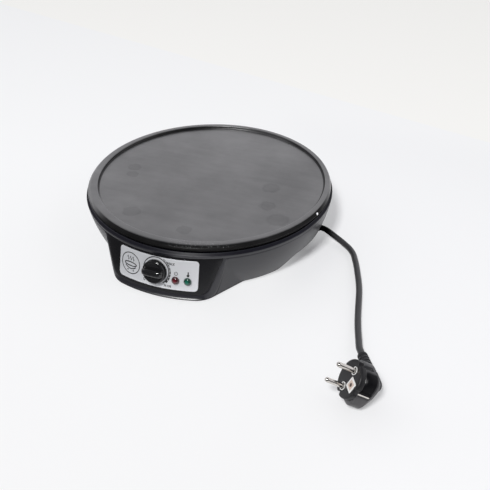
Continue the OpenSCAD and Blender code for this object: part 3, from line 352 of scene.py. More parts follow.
def piece(name, grids, coat, body, stands_for=(), sharp=35, closed=True):
    """One object from grids of points in mm about the plate's axis. Each grid is (points,
    wraps along rows, wraps along columns). Seams and poles are merged."""
    points, faces, count = [], [], 0
    for grid, wrap_rows, wrap_columns in grids:
        index = np.arange(grid.shape[0] * grid.shape[1]).reshape(grid.shape[:2]) + count
        index = np.vstack([index, index[:1]]) if wrap_rows else index
        index = np.hstack([index, index[:, :1]]) if wrap_columns else index
        quads = np.stack([index[:-1, :-1], index[:-1, 1:], index[1:, 1:], index[1:, :-1]], -1)
        points.append(grid.reshape(-1, 3))
        faces.append(quads.reshape(-1, 4))
        count += len(points[-1])
    mesh = bpy.data.meshes.new(name)
    places = in_frame(np.concatenate(points))
    mesh.from_pydata(places.tolist(), [], np.concatenate(faces).tolist())
    work = bmesh.new()
    work.from_mesh(mesh)
    bmesh.ops.remove_doubles(work, verts=work.verts, dist=2e-6)
    bmesh.ops.dissolve_degenerate(work, edges=work.edges, dist=1e-7)
    if closed:
        bmesh.ops.recalc_face_normals(work, faces=work.faces)
    work.to_mesh(mesh)
    work.free()
    mesh.shade_smooth()
    mesh.set_sharp_from_angle(angle=math.radians(sharp))
    made = bpy.data.objects.new(name, mesh)
    bpy.context.scene.collection.objects.link(made)
    mesh.materials.append(coat)
    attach(made, body)
    if stands_for:
        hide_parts(*stands_for)
    return made


def moulded(colour, rough, grain=0.3, cloud=0.06, lift=1.5):
    """Moulded plastic: spark grain under half a millimetre, and a slow drift in tone and
    gloss over a few centimetres."""

    def pattern(place):
        drift = place.noise(28, 3)
        fine = place.noise(2300, 1)
        pale = tuple(min(1, c * lift + 0.003) for c in colour) + (1,)
        deep = tuple(c * 0.8 for c in colour) + (1,)
        return {
            "Base Color": drift.mix(deep, pale),
            "Roughness": rough + (drift - 0.5) * cloud + (fine - 0.5) * 0.05,
            "Normal": fine.bump(grain, 0.00004),
        }

    return pattern


def lead_vinyl(place):
    """Satin, and darker and duller for the first few centimetres out of the gland."""
    past_gland = place.axes()[0].step(0.147, 0.175)
    sockets = moulded((0.026, 0.026, 0.028), 0.42)(place)
    return {**sockets, "Base Color": past_gland.mix((0.004, 0.004, 0.004, 1), sockets["Base Color"]),
            "Coat Weight": past_gland * 0.9 + 0.05}


lead_black = finish("lead_black", lead_vinyl, IOR=1.05, Coat_IOR=1.52, Coat_Roughness=0.42)
lead_path = spline([*LEAD_ROUTE, on_plug([NECK_END + 0.1, 0, NECK_Z])])
lead = piece("lead", [(sweep(lead_path, LEAD_R), False, True)], lead_black, "crepe_maker",
             ("power_cord",))


# ---------------------------------------------------------------- plug
# An angled two-pin earthed plug, moulded in one shot of black vinyl round a white carrier that
# holds two nickel pins. The lead leaves sideways through a ribbed neck, and the plug lies on
# the heel of its grip.

PLUG_R, GRIP_TOP, RIDGE_R, RIB_PITCH = 18.5, 17.4, 7.2, 4.4
GUIDE_HALF, GUIDE_DEPTH, STRIP_HALF, STRIP_DEPTH = 2.7, 3.0, 3.0, 1.0
PIN_GAP, PIN_R, PIN_L = 19.0, 2.4, 19.0
EARTH_X, EARTH_BLOCK, MOUTH_HALF = -8.7, (5.8, 5.4), 4.2
NICKEL = (0.74, 0.71, 0.67)


def turned(profile, steps):
    """A profile of (radius, height) turned about z: x = r cos a, y = r sin a."""
    r, z = np.asarray(profile, float).T[:, :, None]
    turn = np.linspace(0, 2 * np.pi, steps, endpoint=False)
    return np.stack([r * np.cos(turn), r * np.sin(turn), z + 0 * turn], -1)


def along_neck(profile):
    """A profile of (x, radius) turned about the neck's axis, in the plug's frame."""
    return turned(np.asarray(profile)[:, ::-1], 32)[..., [2, 0, 1]] + (0, 0, NECK_Z)


def at_pins(profile):
    """A profile of (radius, z) turned about the axis of each pin."""
    return [on_plug(turned(profile, 32) + (0, side * PIN_GAP / 2, 0)) for side in (-1, 1)]


phi = np.linspace(0, 2 * np.pi, 288, endpoint=False)
cos_phi, sin_phi = np.cos(phi), np.sin(phi)


def squared(half_x, half_y, power):
    """Radius at phi of the outline |x / half_x| ^ power + |y / half_y| ^ power = 1."""
    return (abs(cos_phi / half_x) ** power + abs(sin_phi / half_y) ** power) ** (-1 / power)


grip_r = squared(GRIP_X, np.where(sin_phi > 0, GRIP_HEEL, GRIP_TOP), 3.3)
guide = GUIDE_DEPTH * np.exp(-((cos_phi * PLUG_R / GUIDE_HALF) ** 8))
strip_seat = STRIP_DEPTH * np.exp(-((sin_phi * PLUG_R / STRIP_HALF) ** 8))
rows = np.array([
    # z, share of the grip's outline, its scale, shares of the guide grooves and strip seats
    (0, 0, 0, 0, 0), (0, 0, 0.78, 0, 0), (0, 0, 0.8, 0, 0), (0, 0, 0.935, 1, 1),
    (-0.15, 0, 0.962, 1, 1), (-0.5, 0, 0.985, 1, 1), (-1.2, 0, 1, 1, 1), (-4.8, 0, 1, 1, 1),
    (-5.3, 0, 0.99, 1, 1), (-5.6, 0.1, 0.965, 1, 1), (-6.2, 0.6, 0.955, 1, 1),
    (-7.0, 1, 0.965, 1, 1), (-8.0, 1, 1, 1, 1), (-14.5, 1, 1, 1, 1), (-15.0, 1, 1, 0.4, 1),
    (-15.4, 1, 1, 0, 1), (-17.6, 1, 1, 0, 1), (-18.0, 1, 0.998, 0, 0), (-18.6, 1, 0.985, 0, 0),
    (-19.4, 1, 0.955, 0, 0), (-22.5, 1, 0.80, 0, 0), (-25.2, 1, 0.655, 0, 0),
    (-25.8, 1, 0.62, 0, 0), (-26.1, 1, 0.58, 0, 0), (-26.1, 1, 0, 0, 0),
])[:, :, None]
reach = (PLUG_R * (1 - rows[:, 1]) + grip_r * rows[:, 1]) * rows[:, 2]
reach = reach - rows[:, 3] * guide - rows[:, 4] * strip_seat
body = np.stack([reach * cos_phi, reach * sin_phi, rows[:, 0] + 0 * phi], -1)
ridge = [(6 - RIDGE_R * math.cos(a), RIDGE_R * math.sin(a))
         for a in np.linspace(0, math.pi / 2, 10)]
ridge += [(12, RIDGE_R), (17.2, RIDGE_R), (18.0, 7.1), (18.4, 6.8), (18.5, 6.4), (18.5, 0)]


def plug_vinyl(place):
    """Satin, but for a deep black panel of painted shade between the earth strip and the grip,
    a duller face and flanks, and a heel painted paler with light bounced from the table."""
    x, y, z = (place.along(in_frame(plug_place), axis) for axis in plug_axes.T)
    # Painted shade: a deep black panel where the side reflects the dark room.
    panel = z.step(-0.0057, -0.0064) * z.step(-0.0174, -0.0168) * y.step(0.0012, 0)
    panel = panel * x.step(-0.004, -0.008)
    # Painted light: the heel is painted paler for light bounced up from the table.
    painted_light_area = y.step(0.001, 0.006) * z.step(-0.0055, -0.0065)
    sockets = moulded((0.02, 0.02, 0.022), 0.4)(place)
    with_painted_bounce = painted_light_area.mix(sockets["Base Color"], (0.058, 0.056, 0.059, 1))
    flank = z.step(-0.0166, -0.0178) * (1 - painted_light_area)
    face = z.step(-0.006, -0.005)
    return {**sockets, "Base Color": (panel + face * 0.7).mix(with_painted_bounce, (0.004, 0.004, 0.005, 1)),
            "Coat Weight": 1 - panel * 0.8 - face * 0.35 - flank * 0.55}


plug_black = finish("plug_black", plug_vinyl, IOR=1.05, Coat_IOR=1.5, Coat_Roughness=0.4)
piece("plug_shell", [(on_plug(body), False, True), (on_plug(along_neck(ridge)), False, True)],
      plug_black, "crepe_maker", ("plug_body",))

neck = [(18.55, 0), (18.55, 6.55), (24.5, 6.25)]
for rib in range(5):
    start = 25.6 + RIB_PITCH * rib
    shrink = 0.2 * rib
    neck += [(start - 0.3, 6.15 - shrink * 1.1), (start, 5.95 - shrink * 1.1),
             (start + 0.15, 5.15 - shrink), (start + 0.4, 5.0 - shrink),
             (start + 1.2, 5.0 - shrink), (start + 1.45, 5.15 - shrink),
             (start + 1.6, 5.8 - shrink * 1.1), (start + 1.9, 6.0 - shrink * 1.1)]
neck += [(47.6, 5.1), (48.5, 4.8), (49, 4.2), (49, 0)]
piece("plug_relief", [(on_plug(along_neck(neck)), False, True)], plug_black, "crepe_maker",
      ("plug_neck",))


def metal(colour, rough, streak=0.25):
    """Bare metal: a plain colour with fine scuffs that vary its gloss."""

    def pattern(place):
        scuff = place.stretched(1, 1, 0.15).noise(900, 3, 0.6)
        cloud = place.noise(60, 2)
        deep = tuple(c * 0.72 for c in colour) + (1,)
        return {"Base Color": cloud.mix(deep, colour + (1,)),
                "Roughness": rough + (scuff - 0.5) * streak}

    return pattern


pin = [(0, -8.8), (PIN_R, -8.8), (PIN_R, PIN_L - 1.9), (2.3, PIN_L - 1.2), (2.0, PIN_L - 0.55),
       (1.5, PIN_L - 0.15), (0.9, PIN_L), (0, PIN_L)]
nickel = finish("pin_nickel", metal(NICKEL, 0.16, 0.12), Metallic=1.0)
piece("plug_pins_turned", [(grid, False, True) for grid in at_pins(pin)], nickel, "crepe_maker",
      ("plug_pins",))


def earth_clip(place):
    """A nickel clip in a slot: only its lit edge is nickel, the rest is painted black as the
    slot's shade, and greyer toward the heel as painted light bounced from the table.
    """
    y = place.along(in_frame(plug_place), plug_axes[:, 1])
    lit = y.step(0.0001, 0.0004) * y.step(0.0017, 0.0013)
    heel = y.step(0.0014, 0.0018)
    # Painted shade, near black, and painted bounce light toward the heel.
    painted_slot_shade = heel.mix((0.003, 0.003, 0.004, 1), (0.06, 0.058, 0.06, 1))
    return {"Base Color": lit.mix(painted_slot_shade, NICKEL + (1,)), "Metallic": lit,
            "Roughness": 0.35 - lit * 0.15 + place.noise(900, 3) * 0.05}


block_x, block_y = squared(*EARTH_BLOCK, 14) * (cos_phi, sin_phi)
block = np.stack([np.stack([EARTH_X + grow * block_x, grow * block_y, z + 0 * phi], -1)
                  for grow, z in ((0, -0.5), (1, -0.5), (1, 0.3), (0.97, 0.42), (0, 0.42))])
collars = at_pins([(3.25, -0.5), (3.95, -0.5), (3.95, 0.6), (3.25, 0.6)])


def carrier(place):
    """White nylon, with the earth socket's mouth as a pale brown square, and painted shade for the
    socket's depth in a dark round at its middle.
    """
    middle = in_frame(on_plug([EARTH_X, 0, 0]))
    x, y = (abs(place.along(middle, axis)) * 1000 for axis in plug_axes.T[:2])
    mouth = x.step(MOUTH_HALF, MOUTH_HALF - 0.5) * y.step(MOUTH_HALF - 0.5, MOUTH_HALF - 1)
    # Painted shade: the dark round stands for the depth of the earth socket.
    painted_hole_shade = (x * x + y * y).step(5.5, 1.5)
    sockets = moulded((0.82, 0.82, 0.80), 0.35, 0.1, lift=1.05)(place)
    socket = painted_hole_shade.mix((0.62, 0.50, 0.43, 1), (0.05, 0.025, 0.015, 1))
    return {**sockets, "Base Color": mouth.mix(sockets["Base Color"], socket)}


piece("pin_carrier", [(on_plug(block), False, True), *((grid, True, True) for grid in collars)],
      finish("insert_white", carrier), "crepe_maker", ("plug_insert",))
earth_finish = finish("earth_clip", earth_clip, IOR=1.2)
nodes["plug_earths"].material_slots[0].material = earth_finish


# ---------------------------------------------------------------- base shell
# The black moulded ring that everything hangs in. Its wall draws in from the lip to its foot
# and bulges a little, two arches at the sides leave room for fingers, and the front swells
# into the control head. A shut-off step at the foot shades a dark line all round, deepened with
# painted shade.

FOOT_Z, STEP_Z, STEP_BACK, LEDGE_Z, LIP_EDGE_Z = 1.5, 3.1, 0.7, 49.6, 52.3
WALL_FOOT_R, WALL_TOP_R, WALL_BULGE, WALL = 134.0, 150.25, 2.3, 2.4
FACE_R, FACE_LEAN = 163.3, 0.27
CHEEK_TURN, CHEEK_D, CHEEK_LEAN = math.radians(59.8), 124.4, 0.085
HEAD_FOOT, HEAD_TOP, CORNER_HASTE, CREASE_SOFT = (3.1, 28.0), (51.4, 1.2), 0.6, 1.2
ARCH_H, ARCH_HALF, ARCH_RUN, ARCH_SOFT = 18.0, 75.0, 15.0, 2.2
WINDOW_Z, WINDOW_TOP, WINDOW_GAP, WINDOW_EDGE = 8.4, LEDGE_Z - 0.3, 0.25, 2.0
WINDOW_CORNERS = (11, 11, 1.5, 1.5)


def wall_radius(z):
    """A straight draw from foot to lip with a parabola's bulge."""
    t = (z - FOOT_Z) / (LIP_EDGE_Z - FOOT_Z)
    return WALL_FOOT_R + (WALL_TOP_R - WALL_FOOT_R) * t + 4 * WALL_BULGE * t * (1 - t)


def face_radius(z):
    """The head's face is a cone about the plate's axis."""
    return FACE_R - FACE_LEAN * z


def way(turn):
    """Plan direction of a turn that is counted from the front towards +X."""
    return np.stack([np.sin(turn), -np.cos(turn)], -1)


def head_plan(theta, z):
    """The head's plan point whose outline faces theta: the foot's and the top's outlines,
    each an arc, a corner of radius rho and a flat cheek, are mixed by a power of the height's
    share."""
    t = np.clip((z - HEAD_FOOT[0]) / (HEAD_TOP[0] - HEAD_FOOT[0]), 0, None) ** CORNER_HASTE
    plan = 0
    for share, (height, rho) in ((1 - t, HEAD_FOOT), (t, HEAD_TOP)):
        far, flat = face_radius(height), CHEEK_D + CHEEK_LEAN * height
        start = CHEEK_TURN - math.acos((flat - rho) / (far - rho))
        arc = far * way(theta)
        corner = (far - rho) * way(start) + rho * way(theta)
        plan = plan + share[..., None] * np.where((theta < start)[..., None], arc, corner)
    return plan


def skin_point(plan, z, inset=0):
    """A plan point at height z on the skin. The round wall takes over where the head's
    outline lies inside it: r = max(a, b) + s h h / 4, with h = max(0, 1 - |a - b| / s)."""
    a, b = np.linalg.norm(plan, axis=-1), wall_radius(z)
    near = np.maximum(0, 1 - abs(a - b) / CREASE_SOFT)
    r = np.maximum(a, b) + CREASE_SOFT * near**2 / 4 - inset
    return np.concatenate([plan * (r / a)[..., None], (z + 0 * r)[..., None]], -1)


def arch_height(y):
    """Height of the side arch's edge at y: a flat top, round shoulders and sloping ends."""
    slope = ARCH_H * (ARCH_HALF - abs(y)) / ARCH_RUN
    return -ARCH_SOFT * np.logaddexp(-slope / ARCH_SOFT, -ARCH_H / ARCH_SOFT)


def rounded(corners, radii, bend=8, run=24):
    """A closed outline: each corner is an arc that touches its two sides, and each side is
    cut into equal steps, so that outlines of equal make can be joined point by point."""
    b = np.asarray(corners, float)
    radii = np.asarray(radii, float)[:, None]
    to_last, to_next = np.roll(b, 1, 0) - b, np.roll(b, -1, 0) - b
    u = to_last / np.linalg.norm(to_last, axis=1, keepdims=True)
    v = to_next / np.linalg.norm(to_next, axis=1, keepdims=True)
    half = np.arccos(np.clip((u * v).sum(1, keepdims=True), -1, 1)) / 2
    middle = (u + v) / np.linalg.norm(u + v, axis=1, keepdims=True)
    centre = b + middle * radii / np.sin(half)
    p, q = b + u * radii / np.tan(half) - centre, b + v * radii / np.tan(half) - centre
    t = np.linspace(0, 1, bend)[None, :, None]
    arc = p[:, None] * (1 - t) + q[:, None] * t
    arc *= radii[:, None] / np.maximum(np.linalg.norm(arc, axis=2, keepdims=True), 1e-9)
    arc += centre[:, None]
    t = np.linspace(0, 1, run + 2)[None, 1:-1, None]
    side = arc[:, -1:] * (1 - t) + np.roll(arc, -1, 0)[:, :1] * t
    return np.concatenate([arc, side], 1).reshape(-1, 2)


def window_side(z):
    """Half the window's width at height z: inside the edge that face and cheek make."""
    far, flat = face_radius(z), CHEEK_D + CHEEK_LEAN * z
    return far * np.sin(CHEEK_TURN - np.arccos(flat / far)) - WINDOW_EDGE


def window_outline(gap, **cuts):
    """The fascia's outline from the front, grown by gap all round, as (x, z) points."""
    w0, w1 = window_side(WINDOW_Z) + gap, window_side(WINDOW_TOP) + gap
    z0, z1 = WINDOW_Z - gap, WINDOW_TOP + gap
    return rounded([[-w0, z0], [w0, z0], [w1, z1], [-w1, z1]], WINDOW_CORNERS, **cuts)


def shell_moulding(place):
    """Satin below the lip's edge and on its crest, and dull between them, where the mould is
    spark-eroded. Under the shut-off step it is dulled to a dark line, a painted shade."""
    z = place.axes()[2]
    sockets = moulded((0.008, 0.008, 0.012), 0.5, 0.2)(place)
    gloss = z.step(0.0533, 0.0528) * 0.92 + z.step(0.0549, 0.0553) * 0.5 + 0.08
    # The dull band under the shut-off step is painted shade.
    return {**sockets, "Coat Weight": gloss * z.step(0.0029, 0.0034).mix_value(0.12, 1)}


shell_black = finish("shell_black", shell_moulding, IOR=1.05, Coat_IOR=1.65, Coat_Roughness=0.34)
level = np.concatenate([[FOOT_Z, 2.2, STEP_Z - 0.15, STEP_Z + 0.02, 3.7],
                        np.linspace(5, LEDGE_Z, 22)])
upper = level[3:]

# Cheeks: columns run from the end of the head's corner to where the round wall takes over.
flat = CHEEK_D + CHEEK_LEAN * upper
along = np.array([math.cos(CHEEK_TURN), math.sin(CHEEK_TURN)])
corner_end = head_plan(np.full(upper.shape, CHEEK_TURN), upper) @ along
crease_at = -np.sqrt(np.maximum(wall_radius(upper) ** 2 - flat**2, 0))
columns = 1 - (1 - np.linspace(0, 1, 12)) ** 1.5
reach = corner_end[:, None] + (crease_at - corner_end)[:, None].clip(0) * columns
cheek = flat[:, None, None] * way(CHEEK_TURN) + reach[..., None] * along
crease = np.arctan2(cheek[:, -1, 0], -cheek[:, -1, 1])
cheek = skin_point(cheek, upper[:, None])

# Wall: from the crease to the back, with its lowest rows lifted along the arch's edge.
part = np.concatenate([np.linspace(0, 0.08, 12)[:-1], np.linspace(0.08, 1, 150)])
turns = crease[:, None] * (1 - part) + np.pi * part
turns = np.vstack([turns[:1]] * 3 + [turns])
low_edge = np.full(turns.shape[1], FOOT_Z)
for _ in range(6):
    low_edge = np.maximum(FOOT_Z, arch_height(wall_radius(low_edge) * np.cos(turns[0])))
height = low_edge + (level[:, None] - FOOT_Z) * (LEDGE_Z - low_edge) / (LEDGE_Z - FOOT_Z)
row = np.arange(len(level))[:, None]
stepped = np.where((row < 3) & (height < STEP_Z), STEP_BACK, 0)
edge_round = np.select([row == 0, row == 1, row == 2], [0.5, 0.12, 0.02], 0)
stepped = stepped + edge_round * (low_edge > STEP_Z)
off_cheek = np.cos(np.minimum(turns - CHEEK_TURN, 0))
line = (CHEEK_D + CHEEK_LEAN * height) / off_cheek
wall = skin_point(line[..., None] * way(turns), height, stepped)

# Head: a strip from the fascia's window out to the foot below it and the cheek beside it.
# Points of the window's edge below BELOW_TO fan out to the foot and the corner, and rows above
# SIDE_FROM run level to the cheek.
FAN_Z, BELOW_TO, SIDE_FROM = 26, 18.5, 20
window = window_outline(WINDOW_GAP, bend=13, run=40)
right_half = window[(window[:, 0] > 0) & (window[:, 1] < LEDGE_Z - 2)]
right_half = right_half[np.argsort(np.arctan2(right_half[:, 0], FAN_Z - right_half[:, 1]))]
lift = upper[upper > SIDE_FROM]
beside = np.stack([np.interp(lift, right_half[:, 1], right_half[:, 0]), lift], -1)
below = right_half[right_half[:, 1] < BELOW_TO]
below = np.vstack([[0, below[0, 1]], below])
inner = np.vstack([below, beside])
theta_line = np.linspace(0, CHEEK_TURN, 500)


def theta_at(x, z):
    """Which way the head's outline faces at distance x from its middle, at height z."""
    found = head_plan(theta_line + 0 * z[:, None], z[:, None] + 0 * theta_line)[..., 0]
    return np.array([np.interp(a, line, theta_line) for a, line in zip(x, found)])


inner_theta = theta_at(inner[:, 0], inner[:, 1])
knee = int(np.argmax(below[:, 1] > WINDOW_Z + 2.5))
ramp = np.arange(knee + 1) / knee
outer_theta = np.concatenate([CHEEK_TURN * ramp**1.6, np.full(len(inner) - knee - 1, CHEEK_TURN)])
rise = np.linspace(upper[0], lift[0], len(below) - knee + 1)[1:-1]
outer_z = np.concatenate([np.full(knee + 1, upper[0]), rise, lift])
v = np.concatenate([[0, 0.025, 0.07], np.linspace(0.16, 1, 9)])[:, None]
sink = np.select([v < 0.01, v < 0.05], [0.45, 0.12], 0)
theta = inner_theta * (1 - v) + outer_theta * v
z = inner[:, 1] * (1 - v) + outer_z * v
strip = skin_point(head_plan(theta, z), z, sink)
reveal = np.stack([skin_point(head_plan(inner_theta, inner[:, 1]), inner[:, 1], depth)
                   for depth in (3.2, 2.2, 1.2)])
strip = np.concatenate([reveal, strip])[::-1]

# Foot under the head and its cheeks, set back by the shut-off step.
foot_top = np.concatenate([
    head_plan(outer_theta[: knee + 1], np.full(knee + 1, upper[0])),
    flat[0] * way(CHEEK_TURN) + reach[0][1:, None] * along,
])
foot = np.stack([skin_point(foot_top, np.full(len(foot_top), z), STEP_BACK * (z < STEP_Z))
                 for z in level[:4]])

skin_grids = []
for half in (wall, cheek, strip, foot):
    skin_grids += [(half, False, False), (half[:, ::-1] * (-1, 1, 1), False, False)]
skin = piece("shell_skin", skin_grids, shell_black, "crepe_maker", ("base_shell",),
             closed=False)
thick = skin.modifiers.new("thickness", "SOLIDIFY")
thick.thickness, thick.offset, thick.use_rim = WALL / 1000, -1, True

# Lip, gutter and ledge: one closed ring that the skin hangs from.
lip = [(wall_radius(z), z) for z in np.linspace(LEDGE_Z, LIP_EDGE_Z, 4)] + [
    (WALL_TOP_R, 52.6), (150.15, 52.85), (149.9, 53.12), (149.2, 53.75), (148.5, 54.4),
    (147.9, 55.0), (147.55, 55.3), (147.0, 55.5), (146.4, 55.35), (145.9, 55.1),
    (144.7, 54.3), (144.5, 54.0), (144.5, 51.6), (144.2, 51.4), (130.3, 51.4), (130, 51.2),
    (130, 49.8), (130.2, 49.6),
]
piece("shell_lip", [(turned(lip, 360), True, True)], shell_black, "crepe_maker", ("base_shell",))


# ---------------------------------------------------------------- control panel
# A near-black fascia snaps into the head's window, and a thin sheet of brushed silver is
# glued on it. Its marks are printed in black: a dial that widens as the heat rises, two
# lamp signs, and a round pictogram.

FASCIA_RECESS, FASCIA_BACK = 0.6, 3.6
PANEL_W, PANEL_H, PANEL_Z, PANEL_T = 93.2, 34.0, 12.7, 0.4
PANEL_CORNER, PANEL_SPREAD, PANEL_CORE = 4.0, 0.7, 34
PRINT_T, KNOB_Z, DIAL_R, DASH_R = 0.035, 31.0, 15.1, 16.6
MAINS_X, MAINS_Z, HEAT_X, HEAT_Z = 23.1, 31.4, 36.1, 30.3
SIGN_X, SIGN_Z = -31.9, 30.5


def on_face(x, z, inset):
    """The point of the head's face at (x, z) seen from the front, set in along the radius."""
    far = face_radius(z) - inset
    return np.stack([x + 0 * far, -np.sqrt(far**2 - x**2), z + 0 * far], -1)


def face_rows(rows):
    """Loops of (x, z) points at given insets, as one grid on the head's face."""
    return np.stack([on_face(loop[:, 0], loop[:, 1], inset) for loop, inset in rows])


def panel_outline(grow):
    """The panel's outline from the front, grown by grow all round."""
    w, z0, z1 = PANEL_W / 2 + grow, PANEL_Z - grow, PANEL_Z + PANEL_H + grow
    foot_w = w + PANEL_SPREAD
    return rounded([[-foot_w, z0], [foot_w, z0], [w, z1], [-w, z1]], [PANEL_CORNER + grow] * 4)


def toward_core(loop, share):
    """A loop drawn in by share towards a level line across the panel's middle."""
    core_x = loop[:, 0].clip(-PANEL_CORE, PANEL_CORE)
    core = np.stack([core_x, np.full(len(loop), loop[:, 1].mean())], -1)
    return loop * (1 - share) + core * share


edge = window_outline(0)
seat = panel_outline(0.12)
fascia_rows = [(edge, FASCIA_BACK), (edge, 1.0), (window_outline(-0.06), 0.76),
               (window_outline(-0.25), FASCIA_RECESS + 0.04),
               (window_outline(-0.5), FASCIA_RECESS)]
fascia_rows += [(edge * (1 - s) + seat * s, FASCIA_RECESS) for s in (0.3, 0.6, 0.97)]
fascia_rows += [(toward_core(panel_outline(0.1), s), FASCIA_RECESS) for s in (0, 0.5, 1)]
fascia_black = finish("fascia_black", moulded((0.005, 0.005, 0.006), 0.25, 0.15), IOR=1.4)
piece("fascia", [(face_rows(fascia_rows), False, True)], fascia_black, "crepe_maker",
      ("control_fascia",), closed=False)


def brushed(place):
    """Silver paint on sheet: level brush streaks that vary gloss and height a little."""
    streak = place.stretched(12, 12, 600).noise(9, 4, 0.6)
    cloud = place.noise(25, 2)
    return {"Base Color": cloud.mix((0.71, 0.72, 0.745, 1), (0.79, 0.80, 0.825, 1)),
            "Roughness": 0.34 + (streak - 0.5) * 0.16,
            "Normal": streak.bump(0.06, 0.00002)}


panel_rows = [(panel_outline(0), PANEL_T), (panel_outline(0), 0.1), (panel_outline(-0.04), 0.03)]
panel_rows += [(toward_core(panel_outline(-0.12), s), 0.0) for s in (0, 0.2, 0.45, 0.7, 1)]
panel_silver = finish("panel_silver", brushed, Metallic=0.3)
piece("panel", [(face_rows(panel_rows), False, True)], panel_silver, "crepe_maker",
      ("panel_plate",), closed=False)


def stroke(points, width):
    """A printed line: a ribbon of the given width or widths along (x, z) points."""
    line = np.asarray(points, float)
    along = np.gradient(line, axis=0)
    across = np.stack([-along[:, 1], along[:, 0]], -1)
    across /= np.maximum(np.linalg.norm(across, axis=1, keepdims=True), 1e-9)
    across *= np.reshape(width, (-1, 1)) / 2
    both = np.stack([line - across, line + across])
    return on_face(both[..., 0], both[..., 1], -PRINT_T)


def arc(x, z, r, start, end, steps=48, flat=1.0):
    """Points of an arc. Angles are in degrees, anticlockwise from the right."""
    a = np.radians(np.linspace(start, end, steps))
    return np.stack([x + r * np.cos(a), z + flat * r * np.sin(a)], -1)


def lettering(word, x, z, height, width):
    """Plain capitals drawn as strokes on a 4 by 6 grid, and centred on x."""
    shapes = {
        "M": ["00 06", "06 23 46", "46 40"], "I": ["20 26"], "N": ["00 06", "06 40", "40 46"],
        "A": ["00 26", "26 40", "12 32"], "X": ["00 46", "06 40"],
        "0": ["10 30 42 44 36 16 04 02 10"],
    }
    strokes, unit = [], height / 6
    pitch = 5.6 * unit
    for place, letter in enumerate(word):
        left = x - pitch * len(word) / 2 + pitch * place
        for shape in shapes[letter]:
            points = np.array([(int(c[0]), int(c[1])) for c in shape.split()], float)
            for first, last in zip(points[:-1], points[1:]):
                ends = np.linspace(first, last, 3) * unit + (left, z - height / 2)
                strokes.append(stroke(ends, width))
    return strokes


# The dial's line, and dashes that widen as the heat rises.
marks = [stroke(arc(0, KNOB_Z, DIAL_R, 235, -55, 90), 1.05)]
for share in np.linspace(0, 1, 8):
    turn = 60 - 92 * share
    marks.append(stroke(arc(0, KNOB_Z, DASH_R, turn, turn - 11, 8), 0.6 + 1.3 * share))
marks += lettering("0", -13.2, 18.0, 2.8, 0.6)
marks += lettering("MAX", 17.4, 41.4, 3.0, 0.6) + lettering("MIN", 14.6, 16.0, 2.8, 0.6)

# A mains sign, a thermometer, and in a ring a pan over its hob with three wisps of steam.
marks += [
    stroke(arc(MAINS_X, MAINS_Z, 1.8, 120, 420, 30), 0.6),
    stroke([(MAINS_X, MAINS_Z), (MAINS_X, MAINS_Z + 2.4)], 0.6),
    stroke(arc(HEAT_X, HEAT_Z, 0.75, 0, 360, 24), 1.45),
    stroke([(HEAT_X, HEAT_Z + 0.3), (HEAT_X, HEAT_Z + 4.1)], 1.3),
    stroke(arc(SIGN_X, SIGN_Z, 11.8, 0, 360, 90), 0.95),
    stroke(arc(SIGN_X, SIGN_Z - 0.9, 7.6, 0, 360, 60, 0.28), 1.2),
    stroke(arc(SIGN_X, SIGN_Z - 1.2, 7.4, 205, 335, 40, 0.66), 1.2),
    stroke([(SIGN_X - 4.4, SIGN_Z - 8.0), (SIGN_X + 4.4, SIGN_Z - 8.0)], 1.3),
]
wave = np.linspace(0, 1, 24)
steam = np.stack([SIGN_X + 0.8 * np.sin(wave * 2 * np.pi), SIGN_Z + 3.2 + 4.6 * wave], -1)
marks += [stroke(steam + (lean, 0), 0.9) for lean in (-3.4, 0, 3.4)]


def ink(place):
    """Screen ink, a little uneven."""
    cloud = place.noise(420, 2)
    return {"Base Color": cloud.mix((0.008, 0.008, 0.009, 1), (0.025, 0.025, 0.027, 1)),
            "Roughness": 0.5 + cloud * 0.1}


piece("panel_print", [(mark, False, False) for mark in marks], finish("ink", ink), "crepe_maker",
      closed=False)


# ---------------------------------------------------------------- knob
# Glossy black phenolic: a round skirt with a dished top, crossed by one grip bar whose crest
# is arched. It pushes on the thermostat's flatted spindle and turns with it.

face_up = np.array([0, FACE_LEAN, 1]) / math.hypot(1, FACE_LEAN)
face_out = np.array([0, -1, FACE_LEAN]) / math.hypot(1, FACE_LEAN)


def on_dial(x, up, out, centre_x=0.0, centre_z=KNOB_Z):
    """A point in a frame that stands on the face: x to the right, up along it, and out."""
    centre = on_face(np.float64(centre_x), np.float64(centre_z), 0.0)
    return centre + np.stack(np.broadcast_arrays(x, up, out), -1) @ [(1, 0, 0), face_up, face_out]


BAR_FOOT, BAR_HALF, BAR_MIDDLE = 6.0, 12.65, -0.55
skirt = [(0, 0.8), (12.9, 0.8), (13.2, 0.95), (13.4, 1.3), (13.4, 5.2), (13.3, 5.8), (13.05, 6.35),
         (12.6, 6.8), (12.0, 7.05), (11.5, 7.1), (11.1, 7.0), (10.6, 6.75), (9.5, 6.6), (0, 6.5)]
bar_width = spline([(-13.2, 0.7), (-12.9, 1.9), (-12.1, 3.0), (-9.4, 4.0), (0, 4.15), (8.5, 4.1),
                    (10.8, 3.6), (11.8, 2.4), (12.1, 0.8)])
bar_crest = spline([(-13.2, 6.9), (-12.8, 8.7), (-11.4, 10.6), (-8.4, 12.0), (-4.0, 12.6),
                    (0.5, 12.8), (5.5, 12.6), (8.8, 11.8), (10.8, 10.2), (11.8, 8.6), (12.1, 6.9)])
bar_x = (BAR_MIDDLE - BAR_HALF * np.cos(np.linspace(0, np.pi, 60)))[:, None]
bar_w = np.interp(bar_x, *bar_width.T)
bar_h = np.interp(bar_x, *bar_crest.T)
t = np.linspace(0, np.pi, 40)
bar_up = -bar_w * np.sign(np.cos(t)) * abs(np.cos(t)) ** 0.8
bar_out = BAR_FOOT + (bar_h - BAR_FOOT) * np.sin(t) ** 0.55
bar = [on_dial(bar_x, bar_up, bar_out), on_dial(bar_x, bar_w * np.linspace(-1, 1, 3), BAR_FOOT)]
